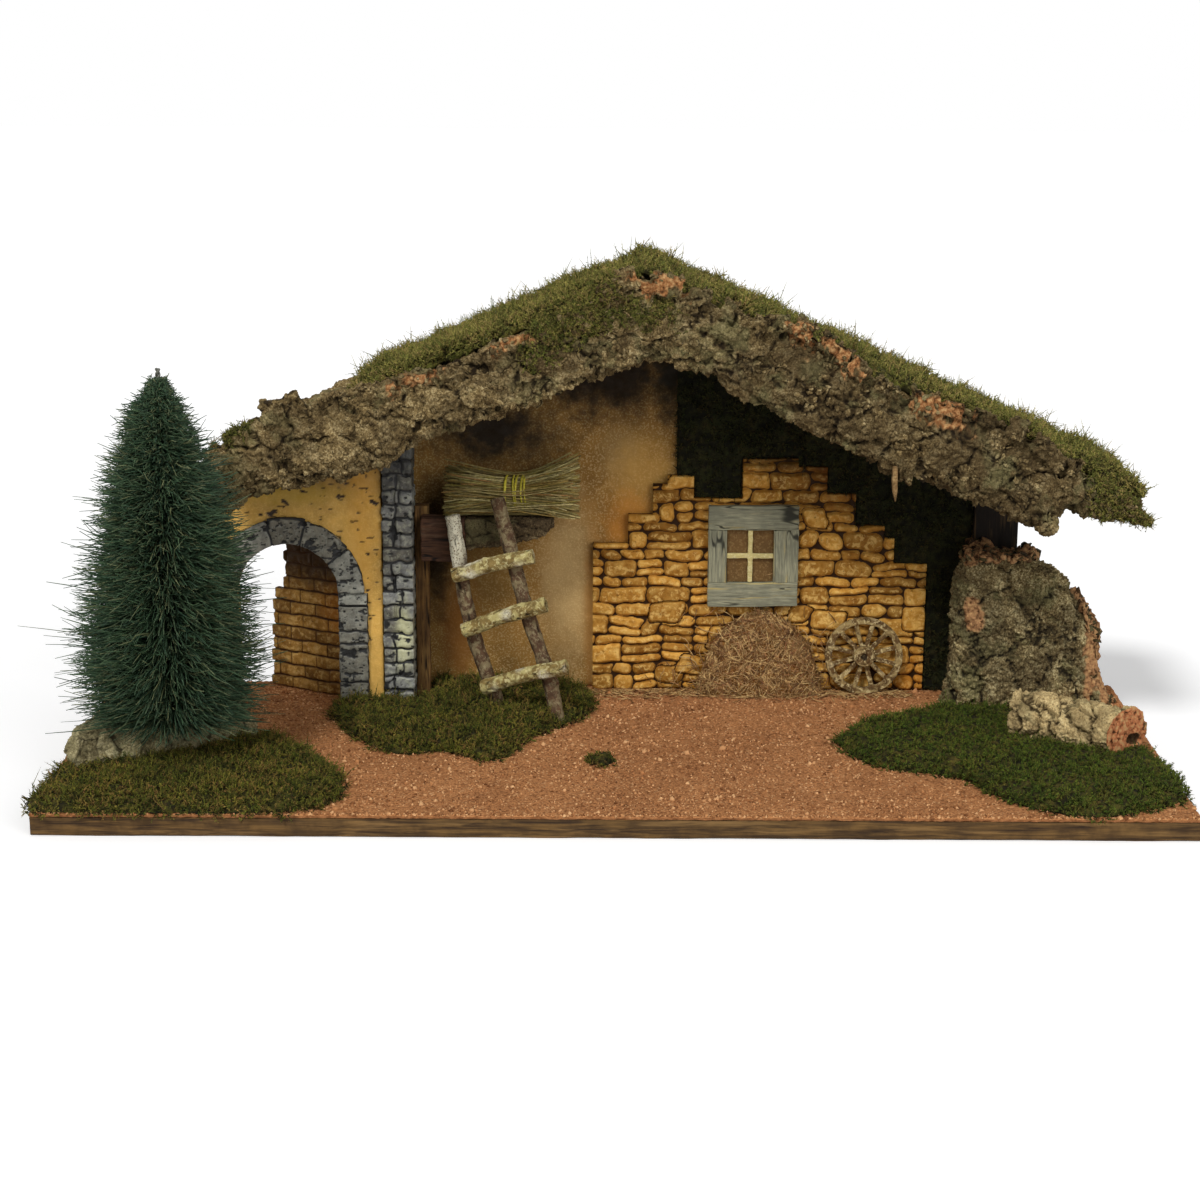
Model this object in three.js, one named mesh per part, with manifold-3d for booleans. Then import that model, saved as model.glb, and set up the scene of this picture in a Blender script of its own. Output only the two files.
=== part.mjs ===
// A nativity stable on a chipboard base: a cork-bark roof over a plastered back wall with a stone
// panel, an arched porch at the left, a loft with a straw bundle and a leaning ladder, a cart wheel,
// moss, cork logs and a bottle-brush fir.
//
// Sizes are in millimetres. X runs to the right, Y to the back and Z up. The origin is the centre of
// the base board's underside. Heights named below are measured from the granule ground.

import * as THREE from "three";
import { mergeVertices } from "three/addons/utils/BufferGeometryUtils.js";
import Module from "manifold-3d";

const wasm = await Module();
wasm.setup();

// Clearance between two pieces that are glued together
const GLUE_GAP = 0.3;

// Base
const BASE_WIDTH = 700;
const BASE_DEPTH = 280;
const BASE_THICKNESS = 12;
const GRANULE_DEPTH = 2;

// Back wall, from the back edge of the base forwards
const BACK_BOARD_LEFT = -224;
const BACK_BOARD_RIGHT = 279;
const BACK_BOARD_THICKNESS = 3;
const INNER_WALL_THICKNESS = 6;
const STONE_PANEL_THICKNESS = 8;

// Roof: the heights are those of the boards' undersides
const ROOF_DEPTH = 135;
const RIDGE_X = 14;
const RIDGE_HEIGHT = 283;
const LEFT_EAVE_X = -264;
const LEFT_EAVE_HEIGHT = 164;
const RIGHT_EAVE_X = 343;
const RIGHT_EAVE_HEIGHT = 139;
const ROOF_BOARD_THICKNESS = 5;
const LEFT_BARK_THICKNESS = 8;
const RIGHT_BARK_THICKNESS = 13;
const LOW_BARK_THICKNESS = 16;
const ROOF_MOSS_THICKNESS = 7;
const ROOF_MOSS_LEFT_END = -170;
const RIDGE_BATTEN_WIDTH = 16;
const RIDGE_BATTEN_HEIGHT = 18;

// Front bark: each row is a share of the slope from ridge to eave, the rise above the boards'
// underside and the hang below it
const FRONT_BARK_DEPTH = 28;
const LEFT_BARK_PROFILE = [
  [0, 20, 41], [0.09, 18, 39], [0.18, 14, 38], [0.31, 16, 39], [0.45, 18, 32],
  [0.61, 24, 38], [0.77, 32, 32], [0.88, 34, 20], [0.93, 30, 33], [1, 18, 14],
];
const RIGHT_BARK_PROFILE = [
  [0, 20, 41], [0.1, 26, 28], [0.19, 24, 33], [0.3, 34, 35], [0.44, 24, 37], [0.52, 20, 39],
  [0.61, 28, 35], [0.71, 32, 34], [0.78, 26, 38], [0.82, 22, 16], [0.95, 20, 3], [1, 10, -4],
];
const LEFT_BARK_JOINTS = [0.04, 0.27, 0.54, 1];
const RIGHT_BARK_JOINTS = [0.1, 0.31, 0.57, 1];

// Its cross-section, from the back of its foot round its face to the back of its top, as shares of
// its depth and its height
const FRONT_BARK_SECTION = [
  [1, 0.14], [0.68, 0], [0.28, 0.08], [0.04, 0.4], [0.07, 0.72], [0.42, 1], [0.75, 0.98], [1, 0.9],
];
const FRONT_BARK_ROWS = 14;

// Crusts of the bark, the cracks between them, and how deep the lowest crusts lie as a share of a crack
const CRUST_LENGTH = 30;
const CRUST_WIDTH = 18;
const CRUST_BEND = 6;
const CRUST_STAGGER = 12;
const CRUST_SUNK = 0.6;
const CRACK_DEPTH = 5;
const BARK_FACET = 7.5;

// Faces of the roof moss along X and Y, its unevenness, and the share of a layer that its rim takes
const ROOF_MOSS_FACETS = [14, 27];
const ROOF_MOSS_LUMP = 1.5;
const LAYER_RIM = 0.04;

// Porch with the arch
const ARCH_CENTRE_X = -221;
const ARCH_RADIUS = 34;
const ARCH_SPRING_HEIGHT = 78;
const ARCH_WALL_THICKNESS = 12;
const PORCH_DEPTH = 37;
const RING_WIDTH = 18;
const RING_STONES = 5;
const KEYSTONE_ANGLE = 30;
const JAMB_WIDTH = 20;
const JAMB_FOOT_HEIGHT = 16;
const IMPOST_HEIGHT = 8;
const STONE_BACKING = 2;
const STONE_RELIEF = 2;
const STONE_JOINT = 1;
const STONE_EDGE = 0.2;

// Stone pillar between the porch and the loft
const PILLAR_LEFT = -157;
const PILLAR_WIDTH = 21;
const PILLAR_PROUD = 4;
const PILLAR_DEPTH = 26;
const PILLAR_COURSE = 10;

// Brick wall from the pillar side back to the back board, past its left end
const BRICK_WALL_LEFT = -240;
const BRICK_WALL_THICKNESS = 6;
const BRICK_COURSE = 9;
const BRICK_RAGGED_STEP = 1.8;
const BRICK_LEAN_PER_COURSE = 0.4;
const BRICK_SET_BACK_COURSE = 7;
const BRICK_SET_BACK = 9;
const BRICK_WALL_FRONT_X = -185;

// Loft
const LOFT_HEIGHT = 130;
const LOFT_DEPTH = 45;
const LOFT_RIGHT = -41;
const LOFT_POST_WIDTH = 9.5;
const LOFT_POST_DEPTH = 10;
const LOFT_BEAM_WIDTH = 30;
const LOFT_BEAM_HEIGHT = 30;
const LOFT_BEAM_DEPTH = 14;
const LOFT_SHELF_THICKNESS = 22;
const LOFT_SHELF_THIN_END = 12;
const LOFT_SHELF_BELLY = 3;
const LOFT_SHELF_NOSE = [6, 5];
const LOFT_POST_ABOVE = 6;

// Straw bundle on the loft
const BUNDLE_BEHIND_EDGE = 4;
const BUNDLE_RADIUS = 14;
const BUNDLE_WAIST = 0.8;
const BUNDLE_LEFT = -116;
const BUNDLE_RIGHT = -28;
const BUNDLE_STRAWS = 44;
const STRAW_RADIUS = 0.9;
const TIE_X = -66;
const TIE_TURNS = 3;
const TIE_PITCH = 6;
const TIE_THICKNESS = 1.8;

// Ladder: X and height of points along each rail, and the distance of its foot from the loft's front
const RAIL_RADIUS = 5.1;
const LEFT_RAIL = [[-75, 0], [-84, 24], [-96.5, 61], [-109, 134]];
const RIGHT_RAIL = [[-37.5, 0], [-44.5, 33], [-56, 64], [-79, 146]];
const LEFT_RAIL_LEAN = 20;
const RIGHT_RAIL_LEAN = 36;
const RUNG_RADIUS = 5.3;
const RUNG_SEAT = 1.4;
const RUNG_OVERHANG = 15;
const RUNG_HEIGHTS = [[23, 36], [61, 75], [97, 107]];

// Stone panel: widths and heights of its steps, from the left
const STONE_PANEL_LEFT = -15;
const STONE_STEPS = [
  [24, 104], [17, 125], [10, 146], [18, 152], [33, 136.5], [38, 164.5],
  [20, 159], [20, 140.5], [20, 118], [7, 109], [23, 91],
];

// Window on the stone panel
const WINDOW_CENTRE_X = 95;
const WINDOW_BOTTOM_HEIGHT = 62;
const WINDOW_WIDTH = 62;
const WINDOW_HEIGHT = 71;
const WINDOW_RAIL_HEIGHT = 17;
const WINDOW_LEFT_STILE = 13;
const WINDOW_RIGHT_STILE = 17;
const WINDOW_FRAME_THICKNESS = 5;
const PANE_THICKNESS = 1.5;
const MUNTIN_WIDTH = 3.4;
const MUNTIN_DEPTH = 2.5;

// Cart wheel leaning on the stone panel
const WHEEL_X = 173;
const WHEEL_RADIUS = 27;
const WHEEL_RIM_HEIGHT = 4.8;
const WHEEL_THICKNESS = 4;
const WHEEL_LEAN = 6;
const WHEEL_SPOKES = 12;
const SPOKE_WIDTH = 3.2;
const HUB_RADIUS = 7;
const HUB_THICKNESS = 7;

// Straw heap below the window
const HEAP_CENTRE_X = 101;
const HEAP_WIDTH = 84;
const HEAP_HEIGHT = 58;
const HEAP_DEPTH = 17;

// Dark moss on the back wall
const WALL_MOSS_THICKNESS = 6;
const WALL_MOSS_LEFT = 42;
const WALL_MOSS_JOINT = 128;

// Corner post
const CORNER_POST_LEFT = 246;
const CORNER_POST_WIDTH = 30;
const CORNER_POST_DEPTH = 12;

// Cork stump: height, left and right end of each level
const STUMP_DEPTH = 40;
const STUMP_LEVELS = [
  [0, 221, 346], [14, 224, 338], [36, 226, 330], [56, 227, 331],
  [78, 228, 316], [94, 230, 300], [108, 236, 285],
];
const STUMP_SIDES = 18;
const STUMP_TORN_EDGE = 4;

// Cork log at the right: ends of its axis on the ground plan
const LOG_BACK_END = [262, 12];
const LOG_FRONT_END = [327, -28];
const LOG_RADIUS = 18;
const LOG_CUT_SLANT = 8;
const LOG_SIDES = 12;

// Cork block under the tree: its outline round the foot of the tree
const BLOCK_OUTLINE = [
  [-52, -40], [-3, -14], [48, 22], [44, 40], [-1, 36], [-54, 12], [-62, -16],
];
const BLOCK_HEIGHT = 26;
const BLOCK_TOP_INSET = 4;

// Bottle-brush fir
const TREE_X = -281;
const TREE_TO_ROOF = 41;
const TREE_HEIGHT = 226;
const TREE_STEM_HEIGHT = 6;
const TREE_CORE_RADIUS = 3.6;
const TREE_CORE_TIP_RADIUS = 1.6;
const TREE_BARE_TIP = 8;
const TREE_SLICES = 4;
const TREE_SLICE_MARGIN = 2.2;
const TREE_STRANDS = 400;
const TREE_STRAND_RADIUS = 1.3;
const TREE_OUTLINE = [
  [0, 50], [0.08, 60], [0.2, 65], [0.33, 58], [0.46, 52], [0.59, 43], [0.72, 33], [0.81, 24],
  [0.9, 16], [0.97, 9], [1, 2],
];

// Moss mats on the ground, as rounded outlines
const MAT_HEIGHT = 9;
const LEFT_MAT_CENTRE = [-262, -66];
const LEFT_MAT = [
  [-350, -140], [-350, -92], [-338, -40], [-322, -8], [-276, 10], [-238, 10], [-203, -21],
  [-179, -58], [-168, -100], [-180, -130], [-222, -140], [-290, -140],
];
const CENTRE_MAT_CENTRE = [-96, 58];
const CENTRE_MAT = [
  [-190, 76], [-178, 30], [-141, -24], [-110, -18], [-80, -38], [-55, 12], [-20, 64],
  [-18, 104], [-36, 128], [-78, 130], [-122, 128], [-128, 88], [-150, 79],
];
const RIGHT_MAT_CENTRE = [248, -30];
const RIGHT_MAT = [
  [145, 1], [166, 38], [197, 61], [224, 76], [262, 74], [292, 50], [330, 10],
  [349, -50], [349, -104], [322, -125], [284, -139], [240, -112], [214, -66], [168, -46],
];
const TUFT_PLACE = [-8, -37];
const TUFT_RADIUS = 9;
const TUFT_HEIGHT = 6;

// Levels and planes that follow from the sizes
const GROUND = BASE_THICKNESS + GRANULE_DEPTH;
const FRONT_EDGE = -BASE_DEPTH / 2;
const BACK_EDGE = BASE_DEPTH / 2;
const BACK_BOARD_FRONT = BACK_EDGE - BACK_BOARD_THICKNESS;
const INNER_WALL_FRONT = BACK_BOARD_FRONT - INNER_WALL_THICKNESS;
const STONE_FRONT = INNER_WALL_FRONT - STONE_PANEL_THICKNESS;
const ROOF_FRONT = BACK_EDGE - ROOF_DEPTH;
const ROOF_BOARD_FRONT = ROOF_FRONT + FRONT_BARK_DEPTH;
const ARCH_WALL_BACK = BACK_BOARD_FRONT - PORCH_DEPTH;
const ARCH_WALL_FRONT = ARCH_WALL_BACK - ARCH_WALL_THICKNESS;
const ARCH_WALL_LEFT = ARCH_CENTRE_X - ARCH_RADIUS - JAMB_WIDTH;
const ARCH_SPRING = GROUND + ARCH_SPRING_HEIGHT;
const PILLAR_RIGHT = PILLAR_LEFT + PILLAR_WIDTH;
const PILLAR_FRONT = ARCH_WALL_FRONT - PILLAR_PROUD;
const PILLAR_BACK = PILLAR_FRONT + PILLAR_DEPTH;
const LOFT_TOP = GROUND + LOFT_HEIGHT;
const LOFT_FRONT = INNER_WALL_FRONT - LOFT_DEPTH;
const STONE_PANEL_WIDTH = STONE_STEPS.reduce((sum, [width]) => sum + width, 0);
const STONE_PANEL_RIGHT = STONE_PANEL_LEFT + STONE_PANEL_WIDTH;
const CORNER_POST_RIGHT = CORNER_POST_LEFT + CORNER_POST_WIDTH;
const CORNER_POST_FRONT = INNER_WALL_FRONT - CORNER_POST_DEPTH;
const TREE_Y = ROOF_FRONT - TREE_TO_ROOF;

// Finishes
function finish(colour, roughness = 0.95) {
  return new THREE.MeshStandardMaterial({ color: colour, roughness, metalness: 0 });
}
const FINISH = {
  chipboard: () => finish(0x4a3322, 0.85),
  granules: () => finish(0xa66a4c),
  moss: () => finish(0x3f4519),
  darkMoss: () => finish(0x1d200d),
  hardboard: () => finish(0x5b4028, 0.8),
  plaster: () => finish(0xa98142),
  yellowPlaster: () => finish(0xbd8d2f, 0.7),
  greyStone: () => finish(0x5c6066, 0.6),
  brick: () => finish(0x8e6a2c, 0.8),
  stone: () => finish(0xb4832f, 0.75),
  darkWood: () => finish(0x3d2b1d, 0.85),
  weatheredWood: () => finish(0x6e7276, 0.8),
  branch: () => finish(0x5f553c, 0.9),
  glazing: () => finish(0x6d5533, 0.5),
  muntin: () => finish(0xa99a5e, 0.7),
  bark: () => finish(0x7a6a52),
  cork: () => finish(0x8d7f68),
  straw: () => finish(0x9a8746),
  raffia: () => finish(0xc9b71e, 0.6),
  needles: () => finish(0x12301f, 0.8),
  wire: () => finish(0x2b2a26, 0.6),
};

const stable = new THREE.Group();

// A group of the stable, at a place of its own where it has one
function assembly(x = 0, y = 0, z = 0) {
  const group = new THREE.Group();
  group.position.set(x, y, z);
  stable.add(group);
  return group;
}

// One named piece in a group
function piece(group, name, geometry, material) {
  const mesh = new THREE.Mesh(geometry, material);
  mesh.name = name;
  group.add(mesh);
  return mesh;
}

// An evenness fault between -1 and 1 that is the same each time, for grown and hand-made surfaces
function uneven(a, b = 0, c = 0) {
  return (Math.sin(1.31 * a + 2.17 * b + c) + Math.sin(2.63 * a - 0.91 * b + 1.7 * c)) / 2;
}

function between(start, end, share) {
  return start + (end - start) * share;
}

// The values at x of rows whose first entry is x, drawn straight between the rows
function rowAt(rows, x) {
  const next = rows.findIndex((row) => row[0] >= x);
  if (next <= 0) {
    return rows[next === 0 ? 0 : rows.length - 1];
  }
  const [low, high] = [rows[next - 1], rows[next]];
  const share = (x - low[0]) / (high[0] - low[0]);
  return low.map((value, i) => between(value, high[i], share));
}

// A closed body from points and triangles, turned so that its faces point out
function closedBody(points, faces) {
  let volume = 0;
  for (let i = 0; i < faces.length; i += 3) {
    const [a, b, c] = [points[faces[i]], points[faces[i + 1]], points[faces[i + 2]]];
    volume += a.dot(b.clone().cross(c));
  }
  const geometry = new THREE.BufferGeometry().setFromPoints(points);
  geometry.setIndex(volume < 0 ? [...faces].reverse() : faces);
  return geometry;
}

function middleOf(ring) {
  return ring.reduce((sum, point) => sum.add(point), new THREE.Vector3()).divideScalar(ring.length);
}

// A closed body through rings of equally many points
function loft(rings, startMiddle = middleOf(rings[0]), endMiddle = middleOf(rings.at(-1))) {
  const count = rings[0].length;
  const points = [...rings.flat(), startMiddle, endMiddle];
  const faces = [];
  const lastRing = (rings.length - 1) * count;
  for (let i = 0; i < count; i++) {
    const next = (i + 1) % count;
    for (let start = 0; start < lastRing; start += count) {
      faces.push(start + i, start + next, start + count + next);
      faces.push(start + i, start + count + next, start + count + i);
    }
    faces.push(points.length - 2, next, i);
    faces.push(points.length - 1, lastRing + i, lastRing + next);
  }
  return closedBody(points, faces);
}

function shapeOf(points) {
  return new THREE.Shape(points.map(([across, up]) => new THREE.Vector2(across, up)));
}

// A shape drawn in X and Z, from front to back
function upright(shape, front, back, curveSegments = 12) {
  const depth = back - front;
  const geometry = new THREE.ExtrudeGeometry(shape, { depth, bevelEnabled: false, curveSegments });
  return geometry.rotateX(Math.PI / 2).translate(0, back, 0);
}

function block(left, right, front, back, bottom, top) {
  const geometry = new THREE.BoxGeometry(right - left, back - front, top - bottom);
  return geometry.translate((left + right) / 2, (front + back) / 2, (bottom + top) / 2);
}

// A geometry as a solid that can be joined and cut
function solidOf(geometry) {
  const bare = geometry.clone();
  bare.deleteAttribute("normal");
  bare.deleteAttribute("uv");
  const merged = mergeVertices(bare, 1e-5);
  return new wasm.Manifold(new wasm.Mesh({
    numProp: 3,
    vertProperties: new Float32Array(merged.attributes.position.array),
    triVerts: new Uint32Array(merged.index.array),
  }));
}

function geometryOf(solid) {
  const mesh = solid.getMesh();
  const geometry = new THREE.BufferGeometry();
  geometry.setAttribute("position", new THREE.BufferAttribute(mesh.vertProperties, 3));
  geometry.setIndex(new THREE.BufferAttribute(mesh.triVerts, 1));
  return geometry;
}

function joined(geometries) {
  return geometryOf(geometries.map(solidOf).reduce((whole, next) => whole.add(next)));
}

function cutBy(geometry, tools) {
  return geometryOf(tools.map(solidOf).reduce((whole, tool) => whole.subtract(tool), solidOf(geometry)));
}

// Roof lines
function roofUnderside(x) {
  const [eaveX, eaveHeight] = x < RIDGE_X
    ? [LEFT_EAVE_X, LEFT_EAVE_HEIGHT]
    : [RIGHT_EAVE_X, RIGHT_EAVE_HEIGHT];
  return GROUND + between(RIDGE_HEIGHT, eaveHeight, (x - RIDGE_X) / (eaveX - RIDGE_X));
}

// The line just below the roof from right to left, as the top of what stands there
function lineBelowRoof(left, right, gap = GLUE_GAP) {
  const line = [right, left].map((x) => [x, roofUnderside(x) - gap]);
  if (left < RIDGE_X && RIDGE_X < right) {
    line.splice(1, 0, [RIDGE_X, roofUnderside(RIDGE_X) - gap]);
  }
  return line;
}

function wallUnderRoof(left, right, front, back) {
  const outline = [[left, GROUND], [right, GROUND], ...lineBelowRoof(left, right)];
  return upright(shapeOf(outline), front, back);
}

// A layer that follows one slope of the roof
function layerOnRoof(left, right, front, back, lift, thickness) {
  const outline = [
    [left, roofUnderside(left) + lift],
    [right, roofUnderside(right) + lift],
    [right, roofUnderside(right) + lift + thickness],
    [left, roofUnderside(left) + lift + thickness],
  ];
  return upright(shapeOf(outline), front, back);
}

// How deep a place on the bark lies: 0 on a high crust, 1 in a crack
function crackAt(along, across) {
  const bentAcross = across + CRUST_BEND * uneven((1.5 * along) / CRUST_LENGTH);
  const row = Math.floor(bentAcross / CRUST_WIDTH);
  const bentAlong = along + CRUST_STAGGER * row + CRUST_BEND * uneven((2 * across) / CRUST_WIDTH, row);
  const number = Math.floor(bentAlong / CRUST_LENGTH);
  const nearCrack = (distance, size) => Math.cos((Math.PI * distance) / size) ** 4;
  return Math.max(
    (CRUST_SUNK * (1 + uneven(number, 2 * row))) / 2,
    nearCrack(bentAcross, CRUST_WIDTH),
    nearCrack(bentAlong, CRUST_LENGTH));
}

// A layer on the roof whose top rises and falls; facets are the lengths of its faces in X and Y, and
// reliefAt gives what is added to its thickness at X and Y in a row
function lumpyLayerOnRoof(left, right, front, back, lift, thickness, facets, reliefAt) {
  const steps = Math.round(Math.abs(right - left) / facets[0]);
  const rows = Math.round((back - front) / facets[1]);
  const inner = Array.from({ length: rows + 1 }, (_, k) => between(LAYER_RIM, 1 - LAYER_RIM, k / rows));
  const shares = [0, ...inner, 1];
  const rings = [];
  for (let i = 0; i <= steps; i++) {
    const x = between(left, right, i / steps);
    const floor = roofUnderside(x) + lift;
    const atEnd = i === 0 || i === steps ? 0.6 : 1;
    const crown = shares.map((share, k) => {
      const atSide = k === 0 || k === shares.length - 1 ? 0.5 : 1;
      const y = between(front, back, share);
      const height = (thickness + reliefAt(x, y, k)) * atEnd * atSide;
      return new THREE.Vector3(x, y, floor + height);
    });
    rings.push([new THREE.Vector3(x, back, floor), new THREE.Vector3(x, front, floor), ...crown]);
  }
  return loft(rings);
}

// A moss mat: a low mound inside a rounded outline
function mound(outline, middle, height) {
  const curve = new THREE.CatmullRomCurve3(
    outline.map(([x, y]) => new THREE.Vector3(x, y, GROUND)), true, "centripetal");
  const edge = curve.getPoints(outline.length * 3).slice(0, -1);
  const centre = new THREE.Vector3(middle[0], middle[1], GROUND);
  const levels = [[1, 0], [0.97, 0.55], [0.86, 0.88], [0.55, 1]];
  const rings = levels.map(([share, rise], level) => edge.map((point, i) => {
    const placed = centre.clone().lerp(point, share);
    placed.x = THREE.MathUtils.clamp(placed.x, -BASE_WIDTH / 2, BASE_WIDTH / 2);
    placed.y = THREE.MathUtils.clamp(placed.y, FRONT_EDGE, BACK_EDGE);
    placed.z = GROUND + height * rise * (1 + 0.16 * uneven(i, level));
    return placed;
  }));
  const peak = centre.clone().setZ(GROUND + height);
  return loft(rings, centre, peak);
}

// A stick along a curve with a knobby skin; grow makes the same stick thicker for cuts
function stick(curve, radius, sides, steps, grow = 0) {
  const rings = [];
  for (let i = 0; i <= steps; i++) {
    const middle = curve.getPointAt(i / steps);
    const along = curve.getTangentAt(i / steps);
    const out = new THREE.Vector3(0, -1, 0).cross(along).cross(along).normalize();
    const ring = [];
    for (let k = 0; k < sides; k++) {
      const knob = 0.06 * radius * uneven(i * 1.7, k, radius);
      const spoke = out.clone().applyAxisAngle(along, (k / sides) * 2 * Math.PI);
      ring.push(middle.clone().addScaledVector(spoke, radius + knob + grow));
    }
    rings.push(ring);
  }
  return loft(rings);
}

function addBase() {
  const group = assembly();
  const [left, right] = [-BASE_WIDTH / 2, BASE_WIDTH / 2];
  piece(group, "base_board",
    block(left, right, FRONT_EDGE, BACK_EDGE, 0, BASE_THICKNESS), FINISH.chipboard());
  piece(group, "ground_granules",
    block(left, right, FRONT_EDGE, BACK_EDGE, BASE_THICKNESS, GROUND), FINISH.granules());
}

function addBackWall() {
  const group = assembly();
  piece(group, "back_board",
    wallUnderRoof(BACK_BOARD_LEFT, BACK_BOARD_RIGHT, BACK_BOARD_FRONT, BACK_EDGE), FINISH.hardboard());
  piece(group, "inner_wall",
    wallUnderRoof(PILLAR_LEFT, CORNER_POST_RIGHT, INNER_WALL_FRONT, BACK_BOARD_FRONT), FINISH.plaster());
  piece(group, "corner_post",
    wallUnderRoof(CORNER_POST_LEFT, CORNER_POST_RIGHT, CORNER_POST_FRONT, INNER_WALL_FRONT),
    FINISH.darkWood());
}

// Top line of the stone panel from left to right, grown outwards by a gap
function stoneTopLine(gap = 0) {
  const line = [];
  let x = STONE_PANEL_LEFT;
  STONE_STEPS.forEach(([width, height], i) => {
    const before = i > 0 ? STONE_STEPS[i - 1][1] : 0;
    const after = i < STONE_STEPS.length - 1 ? STONE_STEPS[i + 1][1] : 0;
    line.push([x - Math.sign(height - before) * gap, GROUND + height + gap]);
    x += width;
    line.push([x + Math.sign(height - after) * gap, GROUND + height + gap]);
  });
  return line;
}

function addStonePanel() {
  const group = assembly();
  const outline = [[STONE_PANEL_LEFT, GROUND], [STONE_PANEL_RIGHT, GROUND], ...stoneTopLine().reverse()];
  piece(group, "stone_panel", upright(shapeOf(outline), STONE_FRONT, INNER_WALL_FRONT), FINISH.stone());
}

// Dark moss between the stone panel and the roof, and down the right side of the panel
function addWallMoss() {
  const group = assembly();
  const front = INNER_WALL_FRONT - WALL_MOSS_THICKNESS;
  const mossRight = CORNER_POST_LEFT - GLUE_GAP;
  const line = stoneTopLine(GLUE_GAP);
  const heightAt = (x) => rowAt(line, x)[1];
  const above = [
    [WALL_MOSS_LEFT, heightAt(WALL_MOSS_LEFT)],
    ...line.filter(([x]) => x > WALL_MOSS_LEFT && x < WALL_MOSS_JOINT),
    [WALL_MOSS_JOINT, heightAt(WALL_MOSS_JOINT)],
    ...lineBelowRoof(WALL_MOSS_LEFT, WALL_MOSS_JOINT),
  ];
  piece(group, "wall_moss_top", upright(shapeOf(above), front, INNER_WALL_FRONT), FINISH.darkMoss());
  const beside = [
    [WALL_MOSS_JOINT, heightAt(WALL_MOSS_JOINT)],
    ...line.filter(([x]) => x > WALL_MOSS_JOINT),
    [STONE_PANEL_RIGHT + GLUE_GAP, GROUND],
    [mossRight, GROUND],
    ...lineBelowRoof(WALL_MOSS_JOINT, mossRight),
  ];
  piece(group, "wall_moss_right", upright(shapeOf(beside), front, INNER_WALL_FRONT), FINISH.darkMoss());
}

// Window: four slats, a pane and crossing bars, built round its own lower middle
function addWindow() {
  const group = assembly(WINDOW_CENTRE_X, STONE_FRONT, GROUND + WINDOW_BOTTOM_HEIGHT);
  const half = WINDOW_WIDTH / 2;
  const front = -WINDOW_FRAME_THICKNESS;
  const paneLeft = -half + WINDOW_LEFT_STILE;
  const paneRight = half - WINDOW_RIGHT_STILE;
  const paneBottom = WINDOW_RAIL_HEIGHT;
  const paneTop = WINDOW_HEIGHT - WINDOW_RAIL_HEIGHT;
  const slats = {
    window_sill: [-half, half, 0, paneBottom],
    window_lintel: [-half, half, paneTop, WINDOW_HEIGHT],
    window_stile_left: [-half, paneLeft, paneBottom, paneTop],
    window_stile_right: [paneRight, half, paneBottom, paneTop],
  };
  for (const [name, [left, right, bottom, top]] of Object.entries(slats)) {
    piece(group, name, block(left, right, front, 0, bottom, top), FINISH.weatheredWood());
  }
  piece(group, "window_pane",
    block(paneLeft, paneRight, -PANE_THICKNESS, 0, paneBottom, paneTop), FINISH.glazing());
  const middleX = (paneLeft + paneRight) / 2;
  const middleZ = (paneBottom + paneTop) / 2;
  const barHalf = MUNTIN_WIDTH / 2;
  const barFront = -PANE_THICKNESS - MUNTIN_DEPTH;
  piece(group, "window_bars", joined([
    block(middleX - barHalf, middleX + barHalf, barFront, -PANE_THICKNESS, paneBottom, paneTop),
    block(paneLeft, paneRight, barFront, -PANE_THICKNESS, middleZ - barHalf, middleZ + barHalf),
  ]), FINISH.muntin());
}

// A stone of the arch ring between two angles
function ringStone(startAngle, endAngle, inner, outer, front, back, curveSegments = 2) {
  const shape = new THREE.Shape();
  shape.absarc(ARCH_CENTRE_X, ARCH_SPRING, outer, startAngle, endAngle, false);
  shape.absarc(ARCH_CENTRE_X, ARCH_SPRING, inner, endAngle, startAngle, true);
  return upright(shape, front, back, curveSegments);
}

function archOpening(shape, left, right) {
  shape.lineTo(left, GROUND);
  shape.lineTo(left, ARCH_SPRING);
  shape.absarc(ARCH_CENTRE_X, ARCH_SPRING, ARCH_RADIUS, Math.PI, 0, true);
  shape.lineTo(right, GROUND);
}

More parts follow.
